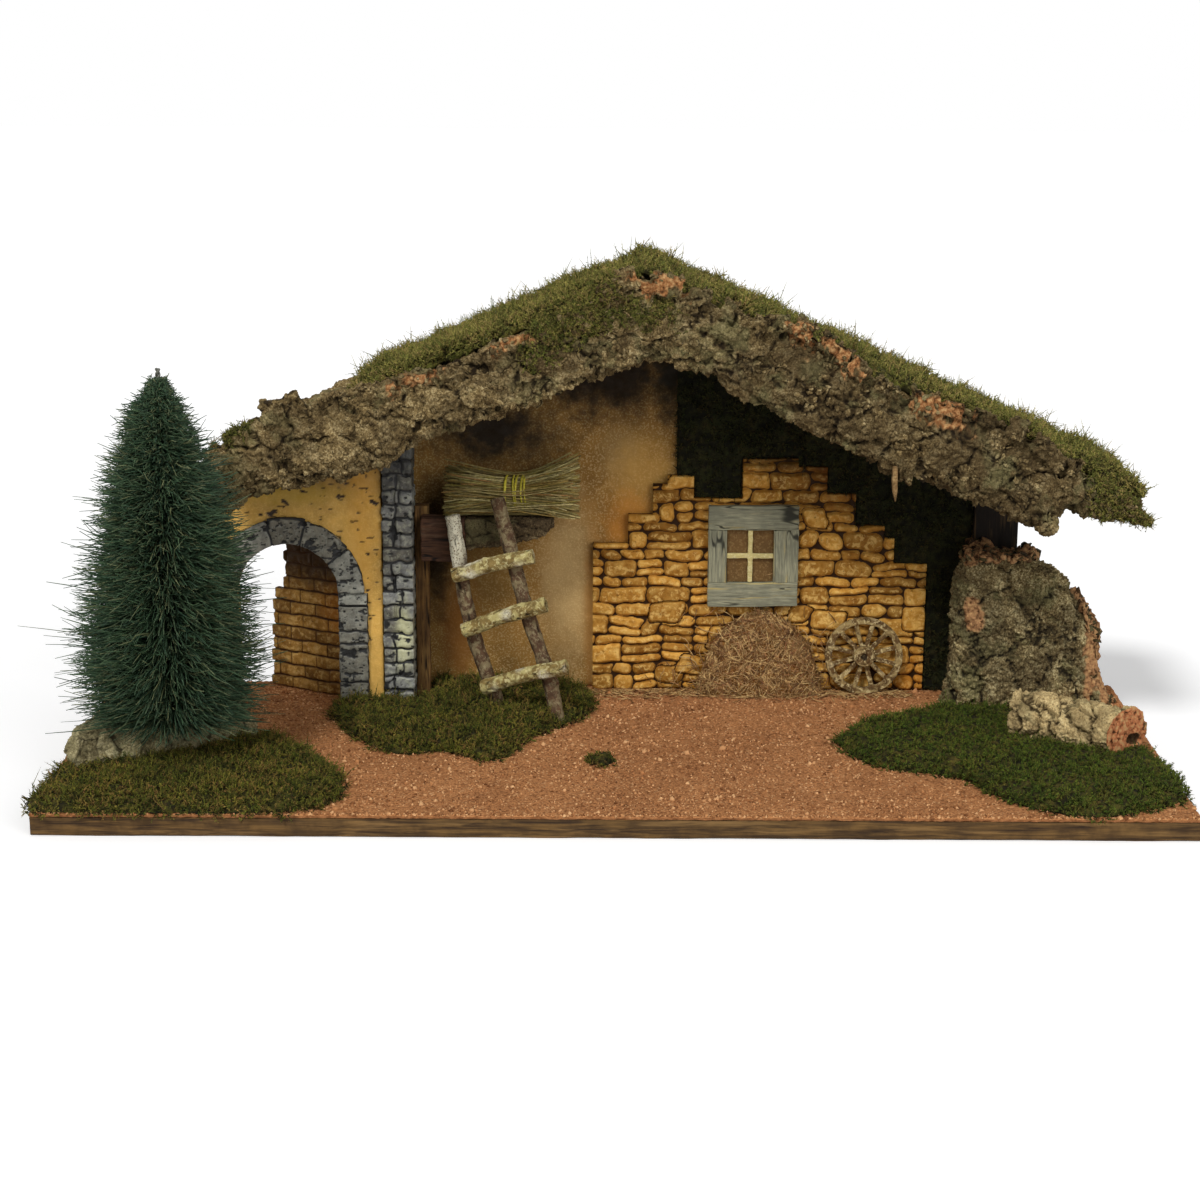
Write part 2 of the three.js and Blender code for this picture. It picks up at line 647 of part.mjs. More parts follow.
function addArch() {
  const group = assembly();
  const openLeft = ARCH_CENTRE_X - ARCH_RADIUS;
  const openRight = ARCH_CENTRE_X + ARCH_RADIUS;
  const wall = new THREE.Shape();
  wall.moveTo(ARCH_WALL_LEFT, GROUND);
  archOpening(wall, openLeft, openRight);
  wall.lineTo(PILLAR_LEFT, GROUND);
  lineBelowRoof(ARCH_WALL_LEFT, PILLAR_LEFT).forEach(([x, z]) => wall.lineTo(x, z));
  piece(group, "arch_wall", upright(wall, ARCH_WALL_FRONT, ARCH_WALL_BACK, 14), FINISH.yellowPlaster());

  const backingFront = ARCH_WALL_FRONT - STONE_BACKING;
  const stoneFront = backingFront - STONE_RELIEF;
  const stoneBack = ARCH_WALL_FRONT - STONE_BACKING / 2;
  const outer = ARCH_RADIUS + RING_WIDTH;
  const jointAngle = STONE_JOINT / outer;
  const keystoneAngle = THREE.MathUtils.degToRad(KEYSTONE_ANGLE);
  const stoneAngle = (Math.PI - keystoneAngle) / (RING_STONES - 1);
  const stones = [];
  let angle = 0;
  for (let i = 0; i < RING_STONES; i++) {
    const isKeystone = i === (RING_STONES - 1) / 2;
    const end = angle + (isKeystone ? keystoneAngle : stoneAngle);
    stones.push(ringStone(angle + jointAngle / 2, end - jointAngle / 2, ARCH_RADIUS + STONE_EDGE,
      outer + (isKeystone ? STONE_JOINT : 0), stoneFront, stoneBack, 6));
    angle = end;
  }
  const backing = ringStone(
    0, Math.PI, ARCH_RADIUS, outer - 2 * STONE_EDGE, backingFront, ARCH_WALL_FRONT, 14);
  piece(group, "arch_ring", joined([backing, ...stones]), FINISH.greyStone());

  const jambSides = { arch_jamb_left: openLeft - JAMB_WIDTH, arch_jamb_right: openRight };
  const impostBottom = ARCH_SPRING - IMPOST_HEIGHT;
  for (const [name, left] of Object.entries(jambSides)) {
    const right = left + JAMB_WIDTH;
    const parts = [block(left, right, backingFront, ARCH_WALL_FRONT, GROUND, ARCH_SPRING)];
    const footTop = GROUND + JAMB_FOOT_HEIGHT;
    const [inLeft, inRight] = [left + 2 * STONE_EDGE, right - 2 * STONE_EDGE];
    parts.push(block(inLeft, inRight, stoneFront, stoneBack, GROUND, footTop - STONE_JOINT / 2));
    parts.push(block(inLeft, inRight, stoneFront, stoneBack,
      footTop + STONE_JOINT / 2, impostBottom - STONE_JOINT / 2));
    const impostFront = stoneFront - STONE_RELIEF / 2;
    parts.push(block(left + STONE_EDGE, right - STONE_EDGE, impostFront, stoneBack,
      impostBottom + STONE_JOINT / 2, ARCH_SPRING - STONE_JOINT / 2));
    piece(group, name, joined(parts), FINISH.greyStone());
  }
}

// Pillar: courses of one or two rough stones in front of a plain core
function addPillar() {
  const group = assembly();
  const top = roofUnderside(PILLAR_LEFT) - GLUE_GAP;
  const coreFront = PILLAR_FRONT + STONE_RELIEF;
  const parts = [block(PILLAR_LEFT, PILLAR_RIGHT, coreFront, PILLAR_BACK, GROUND, top)];
  const courses = Math.floor((top - GROUND) / PILLAR_COURSE);
  for (let i = 0; i < courses; i++) {
    const bottom = GROUND + i * PILLAR_COURSE + (i > 0 ? STONE_JOINT / 2 : 0);
    const courseTop = GROUND + (i + 1) * PILLAR_COURSE - STONE_JOINT / 2;
    const share = 0.42 + 0.16 * (i % 2);
    const split = between(PILLAR_LEFT, PILLAR_RIGHT, share);
    const spans = i % 3 === 1
      ? [[PILLAR_LEFT, PILLAR_RIGHT]]
      : [[PILLAR_LEFT, split - STONE_JOINT / 2], [split + STONE_JOINT / 2, PILLAR_RIGHT]];
    spans.forEach(([left, right], k) => {
      const front = PILLAR_FRONT + 0.3 * (1 + uneven(i, k));
      parts.push(
        block(left + STONE_EDGE, right - STONE_EDGE, front, coreFront + 1, bottom, courseTop));
    });
  }
  piece(group, "stone_pillar", joined(parts), FINISH.greyStone());
}

// Brick wall with a ragged left end, standing askew between the porch and the back board
function addBrickWall() {
  const faceLeft = new THREE.Vector2(BRICK_WALL_LEFT, BACK_BOARD_FRONT - BRICK_WALL_THICKNESS);
  const faceRight = new THREE.Vector2(BRICK_WALL_FRONT_X, ARCH_WALL_BACK + GLUE_GAP);
  const along = faceRight.clone().sub(faceLeft);
  const length = along.length();
  const angle = along.angle();
  const outline = [[length, 0]];
  const roofAbove = (distance) =>
    roofUnderside(faceLeft.x + distance * Math.cos(angle)) - GROUND - GLUE_GAP;
  outline.push([length, roofAbove(length)]);
  const courses = Math.floor(roofAbove(0) / BRICK_COURSE);
  const indent = (i) => i * BRICK_LEAN_PER_COURSE + (i % 2) * BRICK_RAGGED_STEP
    + (i > BRICK_SET_BACK_COURSE ? BRICK_SET_BACK : 0);
  outline.push([indent(courses), roofAbove(indent(courses))]);
  for (let i = courses; i > 0; i--) {
    outline.push([indent(i), i * BRICK_COURSE], [indent(i - 1), i * BRICK_COURSE]);
  }
  outline.push([0, 0]);
  const group = assembly(faceLeft.x, faceLeft.y, GROUND);
  const wall = piece(group, "brick_side_wall",
    upright(shapeOf(outline), 0, BRICK_WALL_THICKNESS), FINISH.brick());
  wall.rotation.z = angle;
}

function addLoft() {
  const group = assembly();
  const postLeft = PILLAR_RIGHT + GLUE_GAP;
  const postRight = postLeft + LOFT_POST_WIDTH;
  const beamLeft = postLeft + LOFT_POST_WIDTH / 2;
  const beamRight = beamLeft + LOFT_BEAM_WIDTH;
  const beamBack = LOFT_FRONT + LOFT_BEAM_DEPTH;
  piece(group, "loft_post",
    block(postLeft, postRight, beamBack, beamBack + LOFT_POST_DEPTH, GROUND, LOFT_TOP + LOFT_POST_ABOVE),
    FINISH.darkWood());
  piece(group, "loft_beam",
    block(beamLeft, beamRight, LOFT_FRONT, beamBack, LOFT_TOP - LOFT_BEAM_HEIGHT, LOFT_TOP),
    FINISH.darkWood());
  const [noseLength, noseHeight] = LOFT_SHELF_NOSE;
  const profile = [
    [beamRight, LOFT_TOP], [beamRight, LOFT_TOP - LOFT_SHELF_THICKNESS],
    [between(beamRight, LOFT_RIGHT, 0.5), LOFT_TOP - LOFT_SHELF_THICKNESS + LOFT_SHELF_BELLY],
    [LOFT_RIGHT - noseLength, LOFT_TOP - LOFT_SHELF_THIN_END],
    [LOFT_RIGHT, LOFT_TOP - noseHeight], [LOFT_RIGHT, LOFT_TOP],
  ];
  piece(group, "loft_shelf", upright(shapeOf(profile), LOFT_FRONT, INNER_WALL_FRONT), FINISH.bark());
}

// Straw bundle: a waisted body with straws spreading at both ends, and its wound tie
function addStrawBundle() {
  const middleY = LOFT_FRONT + BUNDLE_RADIUS + BUNDLE_BEHIND_EDGE;
  const waist = BUNDLE_RADIUS * BUNDLE_WAIST;
  const tieRadius = waist + TIE_THICKNESS / 2 + GLUE_GAP;
  const lowest = Math.max(tieRadius + TIE_THICKNESS / 2, BUNDLE_RADIUS * 0.96);
  const group = assembly(TIE_X, middleY, LOFT_TOP + lowest + GLUE_GAP);
  const leftReach = BUNDLE_LEFT - TIE_X;
  const rightReach = BUNDLE_RIGHT - TIE_X;
  const stations = [
    [leftReach * 0.86, 0.72], [leftReach * 0.6, 0.96], [-TIE_PITCH * 2, BUNDLE_WAIST],
    [TIE_PITCH * 2, BUNDLE_WAIST], [rightReach * 0.55, 0.96], [rightReach * 0.66, 0.9],
  ];
  const sides = 12;
  const rings = stations.map(([x, share]) => {
    const ring = [];
    for (let k = 0; k < sides; k++) {
      const angle = ((k + 0.5) / sides) * 2 * Math.PI;
      const radius = BUNDLE_RADIUS * share;
      ring.push(new THREE.Vector3(x, radius * Math.cos(angle), radius * Math.sin(angle)));
    }
    return ring;
  });
  const straws = [];
  for (let i = 0; i < BUNDLE_STRAWS; i++) {
    const toRight = i % 5 < 3;
    const reach = toRight ? rightReach : leftReach;
    const angle = i * 2.399963;
    const spread = BUNDLE_RADIUS * Math.sqrt((i + 0.5) / BUNDLE_STRAWS);
    const root = new THREE.Vector3(
      reach * 0.5, 0.62 * spread * Math.cos(angle), 0.62 * spread * Math.sin(angle));
    const tip = new THREE.Vector3(
      reach * (0.94 + 0.06 * uneven(i)), 1.05 * spread * Math.cos(angle), 0.95 * spread * Math.sin(angle));
    straws.push(strand(root, tip, STRAW_RADIUS));
  }
  piece(group, "straw_bundle", joined([loft(rings), ...straws]), FINISH.straw());

  const stepsPerTurn = 24;
  const points = [];
  for (let i = 0; i <= TIE_TURNS * stepsPerTurn; i++) {
    const angle = (i / stepsPerTurn) * 2 * Math.PI;
    const x = TIE_PITCH * (i / stepsPerTurn - TIE_TURNS / 2);
    points.push(new THREE.Vector3(x, tieRadius * Math.cos(angle), tieRadius * Math.sin(angle)));
  }
  reportLeastGap(points, stepsPerTurn, TIE_THICKNESS);
  piece(group, "straw_tie", woundTube(points, TIE_THICKNESS / 2, 6), FINISH.raffia());
}

// A tube of flat facets through the points of a winding round the X axis
function woundTube(points, radius, sides) {
  const rings = points.map((point, i) => {
    const along = points[Math.min(i + 1, points.length - 1)].clone()
      .sub(points[Math.max(i - 1, 0)]).normalize();
    const out = new THREE.Vector3(0, point.y, point.z).normalize();
    const side = along.clone().cross(out).normalize();
    const ring = [];
    for (let k = 0; k < sides; k++) {
      const angle = (k / sides) * 2 * Math.PI;
      ring.push(point.clone()
        .addScaledVector(out, radius * Math.cos(angle))
        .addScaledVector(side, radius * Math.sin(angle)));
    }
    return ring;
  });
  return loft(rings);
}

// Prints the least gap between the turns of a winding
function reportLeastGap(points, stepsPerTurn, thickness) {
  let least = Infinity;
  for (let i = 0; i < points.length; i++) {
    for (let k = i + stepsPerTurn / 2; k < points.length; k++) {
      least = Math.min(least, points[i].distanceTo(points[k]) - thickness);
    }
  }
  console.log(`least gap between the turns of the straw tie: ${least.toFixed(2)} mm`);
}

// A three-sided strand from its thick root to a point
function strand(root, tip, radius) {
  const along = tip.clone().sub(root).normalize();
  const helper = Math.abs(along.z) < 0.9 ? new THREE.Vector3(0, 0, 1) : new THREE.Vector3(1, 0, 0);
  const side = along.clone().cross(helper).normalize();
  const points = [0, 1, 2].map((k) => {
    const spoke = side.clone().applyAxisAngle(along, (k / 3) * 2 * Math.PI);
    return root.clone().addScaledVector(spoke, radius);
  });
  return closedBody([...points, tip], [0, 1, 2, 0, 3, 1, 1, 3, 2, 2, 3, 0]);
}

// Ladder rails lean on the loft's front edge; their curves start on the ground
function railCurve(line, lean) {
  const topHeight = line.at(-1)[1];
  const topY = LOFT_FRONT - RAIL_RADIUS - GLUE_GAP - 1;
  return new THREE.CatmullRomCurve3(line.map(([x, height]) =>
    new THREE.Vector3(x, topY - lean * (1 - height / topHeight), GROUND + height)));
}

// A stick's curve, cut off level with the ground
function onGround(geometry) {
  const reach = BASE_WIDTH;
  return cutBy(geometry, [block(-reach, reach, -reach, reach, -reach, GROUND)]);
}

function railPoint(curve, height) {
  let [low, high] = [0, 1];
  for (let i = 0; i < 24; i++) {
    const middle = (low + high) / 2;
    [low, high] = curve.getPointAt(middle).z < GROUND + height ? [middle, high] : [low, middle];
  }
  return curve.getPointAt(low);
}

const leftRail = railCurve(LEFT_RAIL, LEFT_RAIL_LEAN);
const rightRail = railCurve(RIGHT_RAIL, RIGHT_RAIL_LEAN);
const rails = { ladder_rail_left: leftRail, ladder_rail_right: rightRail };

function addLadder() {
  const group = assembly();
  for (const [name, curve] of Object.entries(rails)) {
    piece(group, name, onGround(stick(curve, RAIL_RADIUS, 8, 9)), FINISH.branch());
  }
  const cutters = Object.values(rails).map((curve) => stick(curve, RAIL_RADIUS, 8, 9, GLUE_GAP));
  RUNG_HEIGHTS.forEach(([leftHeight, rightHeight], i) => {
    const forward = new THREE.Vector3(0, RUNG_SEAT - RAIL_RADIUS - RUNG_RADIUS, 0);
    const start = railPoint(leftRail, leftHeight).add(forward);
    const end = railPoint(rightRail, rightHeight).add(forward);
    const along = end.clone().sub(start).normalize();
    start.addScaledVector(along, -RAIL_RADIUS);
    end.addScaledVector(along, RUNG_OVERHANG);
    const bow = start.clone().lerp(end, 0.5).add(new THREE.Vector3(0, 0, 1.5));
    const curve = new THREE.CatmullRomCurve3([start, bow, end]);
    piece(group, `ladder_rung_${i + 1}`,
      cutBy(stick(curve, RUNG_RADIUS, 8, 7), cutters), FINISH.branch());
  });
}

// Wheel built upright round its own middle, then leant on the stone panel
function addWheel() {
  const lean = THREE.MathUtils.degToRad(WHEEL_LEAN);
  const half = WHEEL_THICKNESS / 2;
  const middleZ = GROUND + GLUE_GAP + WHEEL_RADIUS * Math.cos(lean) + half * Math.sin(lean);
  const middleY = STONE_FRONT - GLUE_GAP - WHEEL_RADIUS * Math.sin(lean) - half * Math.cos(lean);
  const group = assembly(WHEEL_X, middleY, middleZ);
  const rim = new THREE.LatheGeometry([
    new THREE.Vector2(WHEEL_RADIUS - WHEEL_RIM_HEIGHT, -half),
    new THREE.Vector2(WHEEL_RADIUS, -half),
    new THREE.Vector2(WHEEL_RADIUS, half),
    new THREE.Vector2(WHEEL_RADIUS - WHEEL_RIM_HEIGHT, half),
    new THREE.Vector2(WHEEL_RADIUS - WHEEL_RIM_HEIGHT, -half),
  ], 32);
  const hub = new THREE.CylinderGeometry(HUB_RADIUS, HUB_RADIUS, HUB_THICKNESS, 16)
    .translate(0, (WHEEL_THICKNESS - HUB_THICKNESS) / 2, 0);
  const spokes = [];
  for (let i = 0; i < WHEEL_SPOKES; i++) {
    const reach = WHEEL_RADIUS - WHEEL_RIM_HEIGHT / 2 - HUB_RADIUS / 2;
    spokes.push(new THREE.BoxGeometry(reach, WHEEL_THICKNESS * 0.6, SPOKE_WIDTH)
      .translate(HUB_RADIUS / 2 + reach / 2, 0, 0)
      .rotateY(((i + 0.5) / WHEEL_SPOKES) * 2 * Math.PI));
  }
  const wheel = piece(group, "cart_wheel", joined([rim, hub, ...spokes]), FINISH.straw());
  wheel.rotation.x = -lean;
}

// Straw heaped against the wall under the window
function addStrawHeap() {
  const group = assembly(HEAP_CENTRE_X, STONE_FRONT - GLUE_GAP, GROUND);
  const stations = 12;
  const rings = [];
  for (let i = 0; i <= stations; i++) {
    const share = (2 * i) / stations - 1;
    const bell = Math.pow(Math.max(1 - share * share, 0.03), 0.6);
    const height = HEAP_HEIGHT * bell * (1 + 0.05 * uneven(i, 3));
    const depth = HEAP_DEPTH * (0.35 + 0.65 * bell);
    const x = (HEAP_WIDTH / 2) * share;
    rings.push([
      [0, 0], [-depth, 0], [-depth * 0.92, height * 0.25], [-depth * 0.66, height * 0.62],
      [-depth * 0.35, height * 0.92], [0, height],
    ].map(([y, z]) => new THREE.Vector3(x, y, z)));
  }
  piece(group, "straw_heap", loft(rings), FINISH.straw());
}

// Stump of virgin cork standing at the right of the stable
function stumpGeometry(grow = 0) {
  const middleY = CORNER_POST_FRONT - GLUE_GAP - STUMP_DEPTH / 2;
  const rings = STUMP_LEVELS.map(([height, left, right], level) => {
    const ring = [];
    const halfWidth = (right - left) / 2;
    const halfDepth = (STUMP_DEPTH / 2) * (1 - 0.03 * level);
    for (let k = 0; k < STUMP_SIDES; k++) {
      const angle = (k / STUMP_SIDES) * 2 * Math.PI;
      const furrow = 1 - 0.05 * (1 + uneven(k * 2.1, level * 0.4));
      const across = Math.sign(Math.cos(angle)) * Math.pow(Math.abs(Math.cos(angle)), 0.7);
      const deep = Math.sign(Math.sin(angle)) * Math.pow(Math.abs(Math.sin(angle)), 0.7);
      const tip = level === STUMP_LEVELS.length - 1 ? STUMP_TORN_EDGE * uneven(k) : 0;
      ring.push(new THREE.Vector3(
        (left + right) / 2 + across * (halfWidth * (k % 9 === 0 ? 1 : furrow) + grow),
        middleY + deep * (halfDepth * furrow + grow),
        GROUND + height + tip));
    }
    return ring;
  });
  return loft(rings);
}

// Log lying in front of the stump; the ground cuts nothing off it
function logGeometry(grow = 0) {
  const height = GROUND + LOG_RADIUS + GLUE_GAP;
  const start = new THREE.Vector3(...LOG_BACK_END, height);
  const end = new THREE.Vector3(...LOG_FRONT_END, height);
  const along = end.clone().sub(start).normalize();
  const side = along.clone().cross(new THREE.Vector3(0, 0, 1)).normalize();
  const up = new THREE.Vector3(0, 0, 1);
  const steps = 6;
  const rings = [];
  for (let i = 0; i <= steps; i++) {
    const ring = [];
    for (let k = 0; k < LOG_SIDES; k++) {
      const angle = ((k + 0.5) / LOG_SIDES) * 2 * Math.PI;
      const radius = LOG_RADIUS * (1 - 0.05 * (1 + uneven(i * 1.3, k * 1.1))) + grow;
      const slanted = i === steps ? LOG_CUT_SLANT * Math.cos(angle) : 0;
      ring.push(start.clone().lerp(end, i / steps)
        .addScaledVector(side, radius * Math.cos(angle))
        .addScaledVector(up, radius * Math.sin(angle))
        .addScaledVector(along, -slanted + (i === 0 ? -grow : 0) + (i === steps ? grow : 0)));
    }
    rings.push(ring);
  }
  return loft(rings);
}

// Block of cork that the tree stands on
function blockGeometry(grow = 0) {
  const middle = new THREE.Vector2();
  BLOCK_OUTLINE.forEach(([x, y]) => middle.add(new THREE.Vector2(x, y)));
  middle.divideScalar(BLOCK_OUTLINE.length);
  const levels = [[0, 0], [0.45, -1.2], [0.8, 0.4], [1, 1]];
  const rings = levels.map(([rise, inset]) => BLOCK_OUTLINE.map(([x, y]) => {
    const out = new THREE.Vector2(x, y).sub(middle);
    const reach = out.length() - inset * BLOCK_TOP_INSET + grow;
    out.setLength(reach).add(middle);
    const z = GROUND + rise * BLOCK_HEIGHT + (rise === 1 ? grow : 0);
    return new THREE.Vector3(Math.max(TREE_X + out.x, -BASE_WIDTH / 2), TREE_Y + out.y, z);
  }));
  return loft(rings);
}

function addCork() {
  const group = assembly();
  piece(group, "cork_stump", stumpGeometry(), FINISH.cork());
  piece(group, "cork_log", logGeometry(), FINISH.cork());
  piece(group, "cork_block", blockGeometry(), FINISH.cork());
}

function addGroundMoss() {
  const group = assembly();
  const pillarAndPost = block(ARCH_WALL_LEFT, PILLAR_RIGHT + LOFT_POST_WIDTH + 2 * GLUE_GAP,
    PILLAR_FRONT - 2 * GLUE_GAP - STONE_RELIEF, INNER_WALL_FRONT, 0, LOFT_TOP);
  const backWall = block(ARCH_WALL_LEFT, CORNER_POST_RIGHT,
    INNER_WALL_FRONT - GLUE_GAP, BACK_EDGE + MAT_HEIGHT, 0, LOFT_TOP);
  const rooms = Object.values(rails).map((curve) => stick(curve, RAIL_RADIUS, 8, 9, GLUE_GAP));
  piece(group, "moss_mat_left",
    cutBy(mound(LEFT_MAT, LEFT_MAT_CENTRE, MAT_HEIGHT), [blockGeometry(GLUE_GAP)]), FINISH.moss());
  piece(group, "moss_mat_centre",
    cutBy(mound(CENTRE_MAT, CENTRE_MAT_CENTRE, MAT_HEIGHT), [pillarAndPost, backWall, ...rooms]),
    FINISH.moss());
  piece(group, "moss_mat_right",
    cutBy(mound(RIGHT_MAT, RIGHT_MAT_CENTRE, MAT_HEIGHT), [stumpGeometry(GLUE_GAP), logGeometry(GLUE_GAP)]),
    FINISH.moss());
  const tuftRings = [1, 0.8, 0.35].map((share, level) => {
    const ring = [];
    for (let k = 0; k < 10; k++) {
      const angle = (k / 10) * 2 * Math.PI;
      const radius = TUFT_RADIUS * share * (1 + 0.12 * uneven(k));
      ring.push(new THREE.Vector3(TUFT_PLACE[0] + radius * Math.cos(angle),
        TUFT_PLACE[1] + radius * Math.sin(angle), GROUND + (TUFT_HEIGHT * level) / 2));
    }
    return ring;
  });
  piece(group, "moss_tuft", loft(tuftRings), FINISH.moss());
}

// Fir: a wire stem, and slices of its core with the bristles twisted into them
function addTree() {
  const group = assembly(TREE_X, TREE_Y, GROUND + BLOCK_HEIGHT);
  const coreRadius = (height) => between(TREE_CORE_RADIUS, TREE_CORE_TIP_RADIUS, height / TREE_HEIGHT);
  const core = (bottom, top) => new THREE.CylinderGeometry(
    coreRadius(top), coreRadius(bottom), top - bottom, 10)
    .rotateX(Math.PI / 2).translate(0, 0, (top + bottom) / 2);
  piece(group, "tree_stem", core(0, TREE_STEM_HEIGHT), FINISH.wire());

  const coreTop = TREE_HEIGHT - TREE_BARE_TIP;
  const sliceHeight = (coreTop - TREE_STEM_HEIGHT) / TREE_SLICES;
  const perSlice = TREE_STRANDS / TREE_SLICES;
  for (let slice = 0; slice < TREE_SLICES; slice++) {
    const bottom = TREE_STEM_HEIGHT + slice * sliceHeight;
    const strands = [];
    for (let i = 0; i < perSlice; i++) {
      const root = between(
        bottom + TREE_SLICE_MARGIN, bottom + sliceHeight - TREE_SLICE_MARGIN, i / (perSlice - 1));
      const share = (root - TREE_STEM_HEIGHT) / (coreTop - TREE_STEM_HEIGHT);
      const tip = between(2, TREE_HEIGHT, Math.pow(share, 0.97));
      const number = slice * perSlice + i;
      const reach = rowAt(TREE_OUTLINE, tip / TREE_HEIGHT)[1] * (0.95 + 0.05 * uneven(number * 0.7));
      const angle = number * 2.399963;
      const out = new THREE.Vector3(Math.cos(angle), Math.sin(angle), 0);
      strands.push(strand(
        out.clone().multiplyScalar(0.5).setZ(root),
        out.clone().multiplyScalar(reach).setZ(tip),
        between(TREE_STRAND_RADIUS, TREE_STRAND_RADIUS * 0.6, share)));
    }
    piece(group, `tree_bristles_${slice + 1}`,
      joined([core(bottom, bottom + sliceHeight), ...strands]), FINISH.needles());
  }
}

// One chunk of front bark between two shares of a slope
function frontBark(profile, eaveX, from, to) {
  const start = between(RIDGE_X, eaveX, from);
  const end = between(RIDGE_X, eaveX, to);
  const steps = Math.max(4, Math.round(Math.abs(end - start) / BARK_FACET));
  const rings = [];
  for (let i = 0; i <= steps; i++) {
    const share = between(from, to, i / steps);
    const x = between(start, end, i / steps);
    const [, rise, hang] = rowAt(profile, share);
    const tall = rise + hang;
    const bottom = roofUnderside(x) - hang;
    const middle = new THREE.Vector3(x, ROOF_BOARD_FRONT, bottom + tall / 2);
    const outline = new THREE.CatmullRomCurve3(FRONT_BARK_SECTION.map(([depth, height]) =>
      new THREE.Vector3(x, ROOF_FRONT + FRONT_BARK_DEPTH * depth, bottom + tall * height)));
    rings.push(outline.getSpacedPoints(FRONT_BARK_ROWS - 1).map((point, k) => {
      const atBack = k === 0 || k === FRONT_BARK_ROWS - 1;
      const around = (k / (FRONT_BARK_ROWS - 1)) * outline.getLength();
      const crack = atBack ? 0 : CRACK_DEPTH * crackAt(x, around);
      return point.lerp(middle, crack / point.distanceTo(middle));
    }));
  }
  return loft(rings);
}

function addRoof() {
  const group = assembly();
  const [front, back] = [ROOF_BOARD_FRONT, BACK_EDGE];
  const onBoard = ROOF_BOARD_THICKNESS + GLUE_GAP;
  const mossRelief = (x, y, row) => ROOF_MOSS_LUMP * uneven(x * 0.11, y * 0.085, row);
  piece(group, "roof_board_left",
    layerOnRoof(LEFT_EAVE_X, RIDGE_X, front, back, 0, ROOF_BOARD_THICKNESS), FINISH.hardboard());
  piece(group, "roof_board_right",
    layerOnRoof(RIDGE_X, RIGHT_EAVE_X, front, back, 0, ROOF_BOARD_THICKNESS), FINISH.hardboard());
  piece(group, "roof_bark_left",
    layerOnRoof(ROOF_MOSS_LEFT_END, RIDGE_X, front, back, onBoard, LEFT_BARK_THICKNESS), FINISH.bark());
  piece(group, "roof_bark_right",
    layerOnRoof(RIDGE_X, RIGHT_EAVE_X, front, back, onBoard, RIGHT_BARK_THICKNESS), FINISH.bark());
  piece(group, "roof_bark_low",
    lumpyLayerOnRoof(LEFT_EAVE_X, ROOF_MOSS_LEFT_END - GLUE_GAP, front, back, onBoard,
      LOW_BARK_THICKNESS, [BARK_FACET, BARK_FACET], (x, y) => -CRACK_DEPTH * crackAt(x, y)),
    FINISH.bark());
  piece(group, "roof_moss_left",
    lumpyLayerOnRoof(ROOF_MOSS_LEFT_END, RIDGE_X - GLUE_GAP, front, back,
      onBoard + LEFT_BARK_THICKNESS + GLUE_GAP, ROOF_MOSS_THICKNESS, ROOF_MOSS_FACETS, mossRelief),
    FINISH.moss());
  piece(group, "roof_moss_right",
    lumpyLayerOnRoof(RIDGE_X + GLUE_GAP, RIGHT_EAVE_X, front, back,
      onBoard + RIGHT_BARK_THICKNESS + GLUE_GAP, ROOF_MOSS_THICKNESS, ROOF_MOSS_FACETS, mossRelief),
    FINISH.moss());

  const half = RIDGE_BATTEN_WIDTH / 2;
  const [battenLeft, battenRight] = [RIDGE_X - half, RIDGE_X + half];
  const battenBottom = roofUnderside(RIDGE_X) - RIDGE_BATTEN_HEIGHT;
  const batten = [
    [battenLeft, battenBottom], [battenRight, battenBottom], ...lineBelowRoof(battenLeft, battenRight),
  ];
  piece(group, "ridge_batten", upright(shapeOf(batten), ROOF_BOARD_FRONT, INNER_WALL_FRONT),
    FINISH.darkWood());
}

function addFrontBark() {
  const group = assembly();
  const slopes = {
    left: [LEFT_BARK_PROFILE, LEFT_EAVE_X, LEFT_BARK_JOINTS],
    right: [RIGHT_BARK_PROFILE, RIGHT_EAVE_X, RIGHT_BARK_JOINTS],
  };
  for (const [side, [profile, eaveX, joints]] of Object.entries(slopes)) {
    const gapShare = GLUE_GAP / Math.abs(eaveX - RIDGE_X);
    for (let i = 1; i < joints.length; i++) {
      piece(group, `front_bark_${side}_${i}`,
        frontBark(profile, eaveX, joints[i - 1] + gapShare, joints[i]), FINISH.bark());
    }
  }
  const ridgeChunks = Object.values(slopes).map(([profile, eaveX, joints]) =>
    frontBark(profile, eaveX, -0.004, joints[0]));
  piece(group, "front_bark_ridge", joined(ridgeChunks), FINISH.bark());
}

addBase();
addBackWall();
addStonePanel();
addWallMoss();
addWindow();
addArch();
addPillar();
addBrickWall();
addLoft();
addStrawBundle();
addLadder();
addWheel();
addStrawHeap();
addCork();
addGroundMoss();
addTree();
addRoof();
addFrontBark();

export default stable;
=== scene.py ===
"""Looks of a nativity stable with a cork-bark roof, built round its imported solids.

Sizes are in millimetres, in the frame of the solids: X to the right, Y to the back, Z up. They are
turned into metres where a mesh is made.
"""
import logging
import math
from dataclasses import dataclass, field, replace
from enum import Enum
from itertools import product
from typing import Callable, Iterable, Sequence

import bmesh
import bpy
import numpy as np
from mathutils import Euler, Matrix, Vector
from numpy.typing import NDArray


